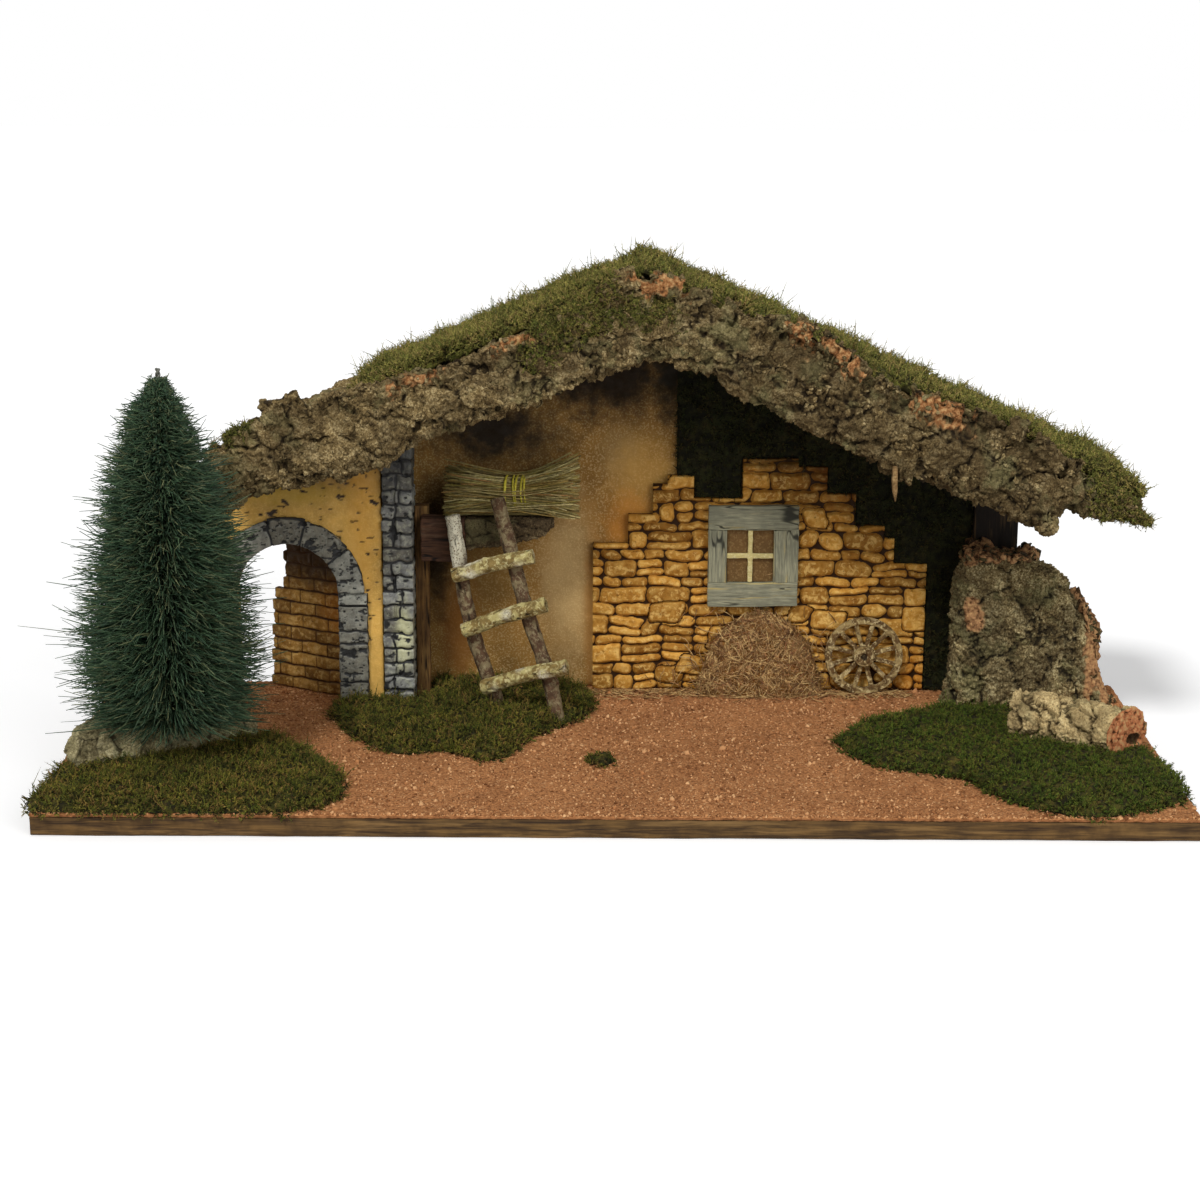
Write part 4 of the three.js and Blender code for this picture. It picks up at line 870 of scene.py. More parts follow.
@dataclass(frozen=True)
class PlasterFinish:
    """Rough plaster, airbrushed in soft clouds, some of them painted shade, with stippled highlights."""

    name: str
    ground: Colour
    stipple: Colour
    spots: tuple[Spot, ...] = ()
    stipple_share: float = 0.4
    gloss: float = 0.15

    def make(self) -> Material:
        """Builds the material.

        Returns:
            The material.
        """
        r = Recipe(self.name)
        drift = r.noise(28, 4)
        colour = r.mix(r.window(drift, 0.35, 0.65), self.ground, tuple(0.72 * c for c in self.ground))
        dots = r.cloudy(1.3, 3, 0.5, 0.62)
        colour = r.tint(colour, self.stipple, dots, self.stipple_share)
        for spot in self.spots:
            colour = r.tint(colour, spot.colour, cloud(r, spot), spot.cover)
        colour = r.mix(r.value("nick"), colour, shade("2c1c0c"))
        grain = r.grain((0.9, 3, 0.5), (4, 4, 0.5))
        return r.done(colour, r.ramp(r.noise(6, 2), [(0.3, (0.5,) * 3), (0.7, (0.85,) * 3)]),
                      r.bump(grain, 0.8, 0.8), self.gloss)


def cloud(r: Recipe, spot: Spot) -> Socket:
    """Adds the spread of a spot of paint, airbrushed colour and painted shade alike.

    Args:
        r: The material.
        spot: The spot.

    Returns:
        Its cover from 0 to 1, uneven at its edge.
    """
    mapping = r.add("ShaderNodeMapping", {
        "Vector": r.place, "Scale": (1 / (spot.width * MM), 0.0, 1 / (spot.height * MM)),
        "Location": (-spot.x / spot.width, 0.0, -spot.z / spot.height)}, vector_type="POINT")
    length = r.add("ShaderNodeVectorMath", {0: mapping.outputs["Vector"]}, operation="LENGTH")
    ragged = r.add("ShaderNodeMath", {0: r.noise(9, 4), 1: 0.7, 2: length.outputs["Value"]},
                   operation="MULTIPLY_ADD")
    return r.window(ragged.outputs[0], 1.35, 0.5)


@dataclass(frozen=True)
class StoneFinish:
    """Painted stones with a dark wash in their joints, and clouds of airbrushed colour and painted shade."""

    name: str
    dark: Colour
    middle: Colour
    light: Colour
    wash: Colour
    wear: Colour
    wear_share: float = 0.4
    spots: tuple[Spot, ...] = ()
    gloss: float = 0.3

    def make(self) -> Material:
        """Builds the material.

        Returns:
            The material.
        """
        r = Recipe(self.name)
        colour = r.ramp(r.noise(7, 5), [(0.3, self.dark), (0.5, self.middle), (0.68, self.light)])
        tone = r.ramp(r.value("tone"), [(0.0, shade("b0a696")), (1.0, shade("fffcf6"))])
        colour = r.mix(1.0, colour, tone, "MULTIPLY")
        crown = r.window(r.value("cavity"), 0.8, 0.98)
        worn = r.sum("MULTIPLY", r.cloudy(3.2, 5, 0.48, 0.62, 0.5), crown)
        colour = r.tint(colour, self.wear, worn, self.wear_share)
        for spot in self.spots:
            colour = r.tint(colour, spot.colour, cloud(r, spot), spot.cover)
        stain = r.cloudy(2.2, 4, 0.4, 0.3)
        colour = r.tint(colour, self.wash, stain, 0.5)
        depth = r.window(r.value("cavity"), 0.72, 0.2)
        colour = r.mix(depth, colour, self.wash)
        colour = r.mix(r.value("nick"), colour, self.wash)
        grain = r.grain((0.8, 3, 0.4), (3, 4, 0.6))
        return r.done(colour, r.ramp(r.noise(5, 2), [(0.3, (0.42,) * 3), (0.7, (0.8,) * 3)]),
                      r.bump(grain, 0.9, 0.8), self.gloss)


@dataclass(frozen=True)
class WoodFinish:
    """Wood with its grain drawn out along one axis."""

    name: str
    dark: Colour
    light: Colour
    axis: Axis
    fibre: float = 1.2
    wear: Colour = shade("967850")
    wear_share: float = 0.2
    roughness: float = 0.8

    def make(self) -> Material:
        """Builds the material.

        Returns:
            The material.
        """
        r = Recipe(self.name)
        stretch = [1.0, 1.0, 1.0]
        stretch[self.axis.value] = 0.06
        fibres = r.noise(self.fibre, 4, stretch, 0.8)
        colour = r.ramp(fibres, [(0.32, self.dark), (0.66, self.light)])
        blotch = r.cloudy(14, 4, 0.38, 0.66)
        colour = r.tint(colour, self.dark, blotch, 0.5)
        worn = r.window(r.noise(5, 5, stretch, 0.4), 0.54, 0.66)
        colour = r.tint(colour, self.wear, worn, self.wear_share)
        # Painted shade in the carved grooves.
        depth = r.window(r.value("cavity"), 0.5, 0.0)
        colour = r.tint(colour, tuple(0.25 * c for c in self.dark), depth, r.value("carved"))
        return r.done(colour, self.roughness, r.bump(fibres, 0.6, 0.8), 0.25)


@dataclass(frozen=True)
class BranchFinish:
    """Twigs with bark, grey-green lichen and pale worn places."""

    name: str
    bark: Colour
    lichen: Colour
    pale: Colour
    pale_share: float

    def make(self) -> Material:
        """Builds the material.

        Returns:
            The material.
        """
        r = Recipe(self.name)
        colour = r.ramp(r.noise(4, 5), [(0.3, tuple(0.45 * c for c in self.bark)), (0.65, self.bark)])
        lichen = r.cloudy(6, 5, 0.46, 0.6, 0.4)
        colour = r.tint(colour, self.lichen, lichen, 0.85)
        pale = r.cloudy(2.6, 5, 0.52, 0.62, 0.8)
        colour = r.tint(colour, self.pale, pale, self.pale_share)
        pale_end = r.window(r.value("pale"), 0.3, 0.8)
        speckle = r.cloudy(1.2, 4, 0.36, 0.5)
        colour = r.tint(colour, shade("cec8b0"), pale_end, speckle)
        # Painted shade in the low places: the furrows of the branches and the hub hole of the wheel.
        depth = r.window(r.value("cavity"), 0.45, 0.1)
        colour = r.tint(colour, shade("1a130b"), depth, 0.85)
        return r.done(colour, 0.9, r.bump(r.noise(1.0, 4), 0.7, 0.8), 0.2)


@dataclass(frozen=True)
class StrandFinish:
    """Straw, raffia or bristles, each strand in a tone of its own."""

    name: str
    tones: tuple[Colour, ...]
    root: Colour
    root_share: float = 0.6
    roughness: float = 0.6
    specular: float = 0.4

    def make(self) -> Material:
        """Builds the material.

        Returns:
            The material.
        """
        r = Recipe(self.name)
        stops = [(k / max(len(self.tones) - 1, 1), tone) for k, tone in enumerate(self.tones)]
        colour = r.ramp(r.value("tone"), stops)
        fleck = r.cloudy(2.2, 3, 0.62, 0.4)
        colour = r.tint(colour, self.root, fleck, 0.45)
        # Darker towards the root; on the fir's bristles this is painted shade deep inside the brush.
        near_root = r.window(r.value("along"), 0.55, 0.0)
        colour = r.tint(colour, self.root, near_root, self.root_share)
        return r.done(colour, self.roughness, r.bump(r.noise(0.5, 2), 0.2, 0.6), self.specular)


@dataclass(frozen=True)
class GranuleFinish:
    """Cork granules: pinkish brown crumbs with darker and paler ones among them."""

    name: str = "cork_granules"
    dark: Colour = shade("683e22")
    middle: Colour = shade("b47c4e")
    light: Colour = shade("deae7c")
    crumb: float = 1.5

    def make(self) -> Material:
        """Builds the material.

        Returns:
            The material.
        """
        r = Recipe(self.name)
        crumb = r.add("ShaderNodeTexVoronoi", {"Vector": r.place, "Scale": 1 / (self.crumb * MM)})
        colour = r.ramp(crumb.outputs["Color"], [
            (0.0, self.dark), (0.35, self.middle), (0.75, self.middle), (1.0, self.light)])
        colour = r.tint(colour, self.dark, r.cloudy(30, 4, 0.42, 0.62), 0.25)
        # Painted shade in the gaps between the crumbs.
        gap = r.window(crumb.outputs["Distance"], 0.42, 0.75)
        colour = r.tint(colour, self.dark, gap, 0.5)
        own = r.ramp(r.value("tone"), [(0.0, self.dark), (0.5, self.middle), (1.0, self.light)])
        colour = r.mix(r.value("loose"), colour, own)
        height = r.sum("SUBTRACT", 1.0, crumb.outputs["Distance"])
        return r.done(colour, 0.95, r.bump(height, 0.7, 0.9), 0.15)


# Shapes that several sub-assemblies share


@dataclass(frozen=True)
class Moss:
    """Moss growing on a skin in clumps: its fronds' number, length and lean."""

    count: int
    length: float = 5.0
    seed: int = 1
    stand: float = 0.6
    tall_share: float = 0.05
    tall: float = 1.6
    leaves: int = 5
    clump: float = 12.0
    stem_radii: tuple[float, float, float] = (0.36, 0.28, 0.06)
    leaf_lengths: tuple[float, float] = (1.4, 2.4)

    def grow(self, skin: Skin, mask: Mask | None = None) -> Skin:
        """Grows the fronds.

        Args:
            skin: What they grow on.
            mask: Says for a place and its normal whether moss grows there.

        Returns:
            The fronds.
        """
        places, normals = scattered(skin, round(self.count * PLENTY), self.seed, mask)
        draw = np.random.default_rng(self.seed + 1)
        clumps = noise(places, self.clump, self.seed + 2)
        keep = draw.random(len(places)) < 0.8 + 0.6 * clumps
        places, normals, clumps = places[keep], normals[keep], clumps[keep]
        count = len(places)
        loose = unit(draw.normal(size=(count, 3)))
        way = unit(normals * self.stand + loose * 0.75 + np.array([0, 0, 0.25]))
        curl = unit(np.cross(way, unit(draw.normal(size=(count, 3)))))
        length = self.length * draw.uniform(0.45, 1.3, count) * (1 + 0.7 * clumps)
        length = np.where(draw.random(count) < self.tall_share, length * self.tall, length)
        share = np.array([0, 0.5, 1.0])
        bend = 0.9 * draw.uniform(-1, 1, count)
        path = (places - normals * 0.6)[:, None] + length[:, None, None] * (
            way[:, None] * share[:, None] + curl[:, None] * (bend[:, None] * share**2)[..., None])
        radii = np.broadcast_to(np.array(self.stem_radii), (count, 3))
        stems = tubes(path, radii, 3)
        return joined([stems, self.leaf_skin(path, way, curl, draw)])

    def leaf_skin(self, path: Array, way: Array, curl: Array, draw: np.random.Generator) -> Skin:
        """Sets small leaves along the fronds.

        Args:
            path: The fronds' points.
            way: Their directions.
            curl: The directions in which they curl.
            draw: The random draw.

        Returns:
            The leaves, as thin lozenges.
        """
        count = len(path)
        other = np.cross(way, curl)
        blocks = []
        for k in range(self.leaves):
            share = 0.2 + 0.75 * k / self.leaves
            step = share * 2
            low = int(step)
            root = path[:, low] + (path[:, low + 1] - path[:, low]) * (step - low)
            turn = draw.uniform(0, 2 * np.pi, count)[:, None]
            out = unit(curl * np.cos(turn) + other * np.sin(turn) + way * 0.7)
            flat = unit(np.cross(out, way + 0.3 * draw.normal(size=(count, 3))))
            long = draw.uniform(*self.leaf_lengths, (count, 1)) * (1.1 - 0.4 * share)
            middle = root + out * long * 0.5
            blocks.append(np.stack([
                root, middle + flat * long * 0.2, root + out * long, middle - flat * long * 0.2], 1))
        points = np.stack(blocks, axis=1)
        faces = np.arange(points.size // 3).reshape(-1, 4)
        tone = lattice(thrice(np.arange(count)), 5)
        along = np.broadcast_to(
            (0.4 + 0.6 * np.arange(self.leaves) / self.leaves)[:, None], (count, self.leaves, 4))
        values = {"along": along.ravel(), "tone": np.repeat(tone, self.leaves * 4)}
        return Skin(points.reshape(-1, 3), [faces], values)

    def plant(self, name: str, skin: Skin, material: Material, parts: int = 1,
              mask: Mask | None = None) -> None:
        """Grows the moss as pieces.

        Args:
            name: Name of the pieces, before their number.
            skin: What it grows on.
            material: Its finish.
            parts: How many pieces it makes, each with this moss's number of fronds.
            mask: Says for a place and its normal whether moss grows there.
        """
        for part in range(parts):
            grown = replace(self, seed=self.seed + 300 * part).grow(skin, mask)
            hold_on_base(grown)
            add_piece(f"{name}_{part + 1}", grown, material)


def mossy_bed(node: str, pitch: float, lump: float, seed: int, facing: Mask) -> Skin:
    """Makes the lumpy ground under moss from its solid.

    Args:
        node: The solid's CAD node.
        pitch: Width of its faces.
        lump: Height of its lumps.
        seed: Which draw it is.
        facing: Says for the points and normals which of them are lumpy.

    Returns:
        The bed, with values for a moss finish.
    """
    bed = resurfaced([node], pitch, 2)
    free = facing(bed.points, bed.normals())
    fine = layered(bed.points, 2.8, 2, seed + 1)
    bed.push(np.where(free, lump * layered(bed.points, 10, 2, seed) + 0.8 * fine, 0.0))
    # Painted shade: the bed takes the darker root colour where its fine lumps dip.
    bed.paint(along=ease(-0.7, 0.9, fine), tone=0.5 + 0.5 * noise(bed.points, 2.2, seed + 3))
    return bed


def hold_on_base(skin: Skin) -> None:
    """Bends what reaches far past the base or below it back to its edge.

    Args:
        skin: The skin, which is changed.
    """
    board = Box.of("base_board")
    low = board.low - PAST_BASE
    high = board.high + PAST_BASE
    low[2] = GROUND - BELOW_GROUND
    high[2] = np.inf
    skin.points = np.clip(skin.points, low, high)


@dataclass(frozen=True)
class BarkRelief:
    """The plates, ledges, lumps and pits of cork bark, carved into a skin."""

    plate: float = 24.0
    fissure: float = 3.0
    uneven: float = 2.4
    ledge: float = 1.8
    lump: float = 6.5
    lump_depth: float = 1.5
    pit: float = 0.9
    seed: int = 3
    stretch: tuple[float, float, float] = (0.55, 1.0, 1.1)

    def carve(self, skin: Skin) -> None:
        """Carves the bark and paints the values that its finish reads; a fresh cut stays flatter.

        Args:
            skin: The skin, which is changed.
        """
        points = skin.points
        cut = skin.values.setdefault("cut", np.zeros(len(points)))
        bent = wander(wander(points, 15, 4.5, self.seed), 5, 1.5, self.seed + 7)
        bent = bent * np.array(self.stretch)
        inside, number = cells(bent, self.plate, self.seed)
        fissure = 1 - ease(0.0, 0.15, inside)
        steps = 3 * layered(bent, 12, 3, self.seed + 3)
        ledge = np.floor(steps) + ease(0.3, 0.7, steps % 1)
        small, little = cells(wander(points, 3.5, 1.6, self.seed + 11), self.lump, self.seed + 5)
        lumps = ease(0.0, 0.42, small)
        pits = ease(0.0, 0.3, np.abs(layered(points, 2.6, 2, self.seed + 9)))
        grit = layered(points, 3.0, 3, self.seed + 13)
        height = self.uneven * (number - 0.5) * (1 - fissure) - self.fissure * fissure
        height += self.ledge * ledge / 3
        height += self.lump_depth * (lumps - 1 + 0.7 * (little - 0.5))
        height += self.pit * (pits - 1 + 0.7 * grit)
        skin.push(height * (1 - 0.5 * cut))
        # How open each point lies, low in fissures and pits; the bark finish paints the low ones dark as
        # painted shade.
        open_air = 0.12 + 0.36 * (1 - fissure) + 0.26 * lumps + 0.2 * pits + 0.22 * grit
        skin.paint(cavity=np.clip(np.maximum(open_air, 0.55 * cut), 0, 1))
        skin.paint(tone=np.clip(0.6 * number + 0.4 * little, 0, 1))


@dataclass(frozen=True)
class Flakes:
    """Loose flakes of bark lying on a skin."""

    count: int
    low_radius: float = 1.2
    high_radius: float = 3.6
    thickness: float = 1.1
    tilt: float = 0.45
    seed: int = 7
    corners: int = 7

    def lie(self, skin: Skin, mask: Mask | None = None) -> Skin:
        """Lays the flakes.

        Args:
            skin: What they lie on.
            mask: Says for a place and its normal whether a flake lies there.

        Returns:
            The flakes, each with a jagged outline.
        """
        places, normals = scattered(skin, round(self.count * PLENTY), self.seed, mask)
        draw = np.random.default_rng(self.seed + 1)
        count = len(places)
        up = unit(normals + self.tilt * draw.normal(size=(count, 3)))
        side = unit(np.cross(up, draw.normal(size=(count, 3))))
        other = np.cross(up, side)
        turn = np.arange(self.corners) + draw.uniform(-0.3, 0.3, (count, self.corners))
        angle = 2 * np.pi * turn / self.corners
        radius = draw.uniform(self.low_radius, self.high_radius, (count, 1))
        radius = radius * draw.uniform(0.6, 1.15, (count, self.corners))
        narrow = draw.uniform(0.5, 1.0, (count, 1))
        ring = side[:, None] * (np.cos(angle) * radius)[..., None]
        ring = ring + other[:, None] * (np.sin(angle) * radius * narrow)[..., None]
        half = up[:, None] * self.thickness * draw.uniform(0.35, 0.65, (count, 1, 1))
        middle = places[:, None]
        points = np.concatenate([
            middle + ring - half, middle + 0.82 * ring + half, middle - half, middle + 1.3 * half], axis=1)
        k = np.arange(self.corners)
        after = (k + 1) % self.corners
        first = (points.shape[1] * np.arange(count))[:, None, None]
        walls = np.stack([k, after, after + self.corners, k + self.corners], axis=1)
        bottom = np.stack([after, k, np.full_like(k, 2 * self.corners)], axis=1)
        top = np.stack([k + self.corners, after + self.corners, np.full_like(k, 2 * self.corners + 1)],
                       axis=1)
        faces = [(first + part).reshape(-1, part.shape[1]) for part in (walls, bottom, top)]
        rows = points.shape[1]
        # Painted shade under each flake: its underside gets a low value, which the bark finish paints dark.
        open_air = np.where(np.arange(rows) < self.corners, 0.4, 0.95)
        open_air[2 * self.corners] = 0.3
        values = {
            "tone": np.repeat(draw.random(count), rows),
            "cavity": np.tile(open_air, count) * np.repeat(draw.uniform(0.6, 1.0, count), rows),
        }
        return Skin(points.reshape(-1, 3), faces, values)


def grained(skin: Skin, axis: Axis, depth: float, seed: int = 0) -> None:
    """Carves wood grain into a skin.

    Args:
        skin: The skin, which is changed.
        axis: The direction of the grain.
        depth: Depth of the grain.
        seed: Which draw it is.
    """
    squeeze = np.ones(3)
    squeeze[axis.value] = 0.07
    fibres = layered(skin.points * squeeze, 1.6, 2, seed)
    split = np.abs(noise(skin.points * squeeze, 3.4, seed + 3))
    groove = 1 - ease(0.0, 0.16, split)
    skin.push(depth * fibres - 1.6 * depth * groove + 0.5 * depth * noise(skin.points, 5, seed + 5))
    skin.paint(cavity=np.clip(1 - groove + 0.2 * fibres, 0, 1), carved=1.0)


def nicked(skin: Skin, depth: float, size: float, share: float, seed: int,
           stretch: tuple[float, float, float] = (0.6, 1.0, 1.0)) -> None:
    """Knocks dark nicks into a painted surface.

    Args:
        skin: The skin, which is changed.
        depth: Depth of a nick.
        size: Width of a nick.
        share: Share of the surface that they cover.
        seed: Which draw it is.
        stretch: Factors that draw the nicks out along an axis.
    """
    rough = layered(skin.points * np.array(stretch), size, 3, seed)
    edge = np.quantile(rough, 1 - share)
    nick = ease(edge, edge + 0.1, rough)
    skin.push(-depth * nick)
    skin.paint(nick=np.maximum(nick, skin.values.get("nick", 0.0)))


# Base


@dataclass
class Base:
    """The chipboard base with its bed of cork granules."""

    board_rounding: float = 0.8
    bed_pitch: float = 2.1
    bed_lump: float = 0.5
    crumbs: int = 21000
    crumb_size: float = 0.6
    edge_share: float = 0.06
    twig_place: tuple[float, float, float] = (-340.0, -128.0, 17.0)

    def build(self) -> None:
        """Builds the board, the bed, the loose crumbs and a stray twig."""
        board = Box.of("base_board")
        skin = planed(board, 4.0, self.board_rounding)
        skin.push(0.5 * layered(skin.points * np.array([0.15, 1, 1]), 3, 3, 2) - 0.3)
        skin.points[:, 2] = np.maximum(skin.z, board.low[2])
        finish = WoodFinish("chipboard", *shades("2a1b0c 6c502a"), Axis.X, 2.2, shade("967446"), 0.35)
        add_piece("base_board_edges", skin, finish.make(), ["base_board"])
        self.add_bed(Box.of("ground_granules"))
        self.add_twig()

    def add_bed(self, box: Box) -> None:
        """Lays the granules.

        Args:
            box: The place of the bed.
        """
        skin = planed(box, self.bed_pitch, 0.6)
        inside, number = cells(skin.points, 2.2, 4)
        on_top = skin.z > box.high[2] - 0.3
        lump = self.bed_lump * (ease(0, 0.4, inside) + number - 0.7)
        swell = 0.5 * noise(skin.points, 26, 8)
        skin.push(np.where(on_top, lump + swell, 0.5 * lump))
        skin.paint(loose=np.where(on_top, 0.0, 0.8), tone=np.where(on_top, number, 0.3 * number))
        finish = GranuleFinish().make()
        add_piece("granule_bed", skin, finish, ["ground_granules"])
        draw = np.random.default_rng(6)
        count = round(self.crumbs * PLENTY)
        edge = draw.random(count) < self.edge_share
        places = np.stack([
            draw.uniform(box.low[0] + 1, box.high[0] - 1, count),
            np.where(edge, box.low[1] + draw.uniform(0, 2, count),
                     draw.uniform(box.low[1] + 1, box.high[1] - 9, count)),
            np.full(count, box.high[2] + 0.25)], axis=1)
        corners = np.array([[1, 0, 0], [-1, 0, 0], [0, 1, 0], [0, -1, 0], [0, 0, 1], [0, 0, -1.0]])
        sizes = self.crumb_size * draw.lognormal(0, 0.42, (count, 1, 1))
        jitter = 1 + 0.5 * draw.uniform(-1, 1, (count, 6, 1))
        turn = draw.uniform(0, 2 * np.pi, count)
        rotated = np.einsum("nij,kj->nki", rotations(turn), corners)
        points = places[:, None] + rotated * sizes * jitter
        sides = np.array([[0, 2, 4], [2, 1, 4], [1, 3, 4], [3, 0, 4], [2, 0, 5], [1, 2, 5], [3, 1, 5],
                          [0, 3, 5]])
        faces = (6 * np.arange(count))[:, None, None] + sides
        values = {"tone": np.repeat(draw.random(count), 6), "loose": np.ones(6 * count)}
        crumbs = Skin(points.reshape(-1, 3), [faces.reshape(-1, 3)], values)
        add_piece("loose_crumbs", crumbs, finish, smooth=False)

    def add_twig(self) -> None:
        """Leaves a bit of stalk in the moss at the left front corner."""
        x, y, z = self.twig_place
        bend = np.array([[0, 0, 0], [-6, -1, 1], [-11, -2, 1], [-16, -1, 3.5]])
        side = np.array([[-9, -2, 1], [-12, -4, 2.5], [-14, -4, 5], [-15, -4.5, 6]])
        paths = np.array([x, y, z]) + np.stack([bend, side]).astype(float)
        radii = np.array([[0.7, 0.6, 0.5, 0.3], [0.5, 0.4, 0.35, 0.2]])
        finish = BranchFinish("stalk", *shades("3c301a 505224 786c46"), 0.3)
        skin = tubes(paths, radii, 5)
        skin.paint(cavity=1.0)
        add_piece("moss_stalk", skin, finish.make())


def rotations(angles: Array) -> Array:
    """Makes matrices that turn about X and then about Z.

    Args:
        angles: The angle of both turns, one for each matrix.

    Returns:
        The matrices.
    """
    c, s = np.cos(angles), np.sin(angles)
    zero, one = np.zeros_like(c), np.ones_like(c)
    about_z = np.stack([np.stack([c, -s, zero], 1), np.stack([s, c, zero], 1),
                        np.stack([zero, zero, one], 1)], axis=1)
    about_x = np.stack([np.stack([one, zero, zero], 1), np.stack([zero, c, -s], 1),
                        np.stack([zero, s, c], 1)], axis=1)
    return about_z @ about_x


# Moss on the ground and on the wall


@dataclass
class GroundMoss:
    """The moss mats and the small tuft on the granules."""

    pitch: float = 1.3
    lump: float = 3.0
    per_part: int = 9300
    fringe: float = 7.0
    parts: dict[str, int] = field(default_factory=lambda: {
        "moss_mat_left": 2, "moss_mat_centre": 2, "moss_mat_right": 2, "moss_tuft": 1})

    def build(self) -> None:
        """Builds each mat from a lumpy bed and its fronds."""
        bed_finish = MossFinish("moss_bed", *shades("1a1808 58501c 383e12 5c4622")).make()
        curly = MossFinish("ground_moss", *shades("181608 847e2e 404c16 967040")).make()
        bright = MossFinish("short_moss", *shades("20220b 6a7426 425818 6a5c2a")).make()
        for seed, (node, parts) in enumerate(self.parts.items()):
            bed = mossy_bed(node, self.pitch, self.lump, 20 * seed,
                            lambda points, normals: points[:, 2] > GROUND + 1.2)
            add_piece(f"{node}_bed", bed, bed_finish, [node])
            small = node == "moss_tuft"
            short = 0.8 if node == "moss_mat_right" else 1.0
            moss = Moss(200 if small else self.per_part, 3.6 if small else 5.4 * short,
                        seed=50 + seed, stand=0.4, tall_share=0.04, tall=1.5, clump=7.0)
            rim = 1 - ease(0.8, 3.5, bed.z - GROUND)
            spread = self.fringe * rim * (0.5 + noise(bed.points, 6, 3 + seed)).clip(0)
            wide = Skin(bed.points + bed.normals() * np.array([1, 1, 0]) * spread[:, None], bed.faces, {})
            moss.plant(f"{node}_fronds", wide, bright if short < 1 else curly, parts,
                       lambda places, normals: places[:, 2] > GROUND + 0.2)


@dataclass
class RearWall:
    """The back board, the plastered wall, the dark moss on it and the corner post."""

    pitch: float = 1.7
    stipple: float = 0.5
    moss_pitch: float = 1.6

    def build(self) -> None:
        """Builds the wall and what is glued on it."""
        board = WoodFinish("hardboard", *shades("543a24 705032"), Axis.X, 0.9, shade("80603e"), 0.25, 0.7)
        dress_node("back_board", board.make())
        self.add_plaster()
        self.add_moss()
        box = Box.of("corner_post")
        post = planed(box, 2.5, 0.8)
        near_top = np.clip((post.z - box.high[2] + 30) / 30, 0, 1)
        post.points[:, 2] -= near_top * self.roof_slope() * (post.x - box.low[0])
        grained(post, Axis.Z, 0.35, 12)
        finish = WoodFinish("corner_post_wood", *shades("0d0905 1e150c"), Axis.Z)
        add_piece("corner_post_beam", post, finish.make(), ["corner_post"])

    @staticmethod
    def roof_slope() -> float:
        """Gives how much the right slope falls for each millimetre to the right."""
        board = Box.of("roof_board_right")
        return (Box.of("ridge_batten").high[2] - board.low[2]) / board.size[0]

    def add_plaster(self) -> None:
        """Builds the plastered wall, its airbrushed clouds and its painted shade under the roof."""
        skin = resurfaced(["inner_wall"], self.pitch, 1)
        front = Box.of("inner_wall").low[1]
        facing = skin.y < front + 2
        rough = 0.8 * layered(skin.points, 3.2, 3, 5) + 0.6 * layered(skin.points, 18, 2, 6)
        skin.push(np.where(facing, self.stipple * rough, 0))
        # Near-black used for painted shade and for the post's painted shadow.
        dark = shade("120c07")
        brown = shade("7c4e1e")
        finish = PlasterFinish(
            "inner_plaster", *shades("9e763c d6b87e"),
            (
                Spot(-92, 100, 46, 54, shade("70562a"), 0.6),
                Spot(-32, 88, 30, 88, shade("c8aa74"), 0.7),
                Spot(-15, 66, 9, 96, shade("b48242"), 0.85),
                Spot(4, 180, 22, 30, shade("a48856"), 0.6),
                Spot(20, 166, 36, 40, shade("d4a454"), 0.6),
                Spot(10, 130, 26, 34, shade("cc8a3a"), 0.8),
                Spot(-108, 56, 20, 60, brown, 0.85),
                # Painted shadow of the post, then painted shade under the roof, darkest at the top of the
                # wall.
                Spot(-124, 112, 18, 70, dark, 0.9),
                Spot(-84, 196, 76, 42, dark, 0.97),
                Spot(-34, 236, 56, 36, dark, 0.97),
                Spot(0, 232, 64, 46, shade("1e150a"), 0.97),
                Spot(38, 236, 20, 56, shade("1a160c"), 0.97),
                Spot(40, 270, 150, 44, shade("18140d"), 0.97),
                Spot(150, 220, 120, 90, shade("16120c"), 0.9),
            ), 0.5)
        skin.paint(nick=0.0)
        add_piece("inner_wall_plaster", skin, finish.make(), ["inner_wall"])

    def add_moss(self) -> None:
        """Grows the dark moss above and beside the stone panel."""
        # Very dark moss: partly its own colour, partly painted shade under the roof.
        bed_finish = MossFinish("wall_moss_bed", *shades("0d0c05 343216 222811 302614")).make()
        finish = MossFinish("wall_moss", *shades("0c0c05 4a4822 2c3418 46381e")).make()
        for seed, (node, count) in enumerate({"wall_moss_top": 5200, "wall_moss_right": 9000}.items()):
            bed = mossy_bed(node, self.moss_pitch, 1.2, 20 + seed,
                            lambda points, normals: points[:, 1] < points[:, 1].min() + 3)
            add_piece(f"{node}_bed", bed, bed_finish, [node])
            Moss(count, 4.4, seed=80 + seed, stand=0.5, tall_share=0.02).plant(
                f"{node}_fronds", bed, finish,
                mask=lambda places, normals: normals[:, 1] < -0.3)


# Masonry


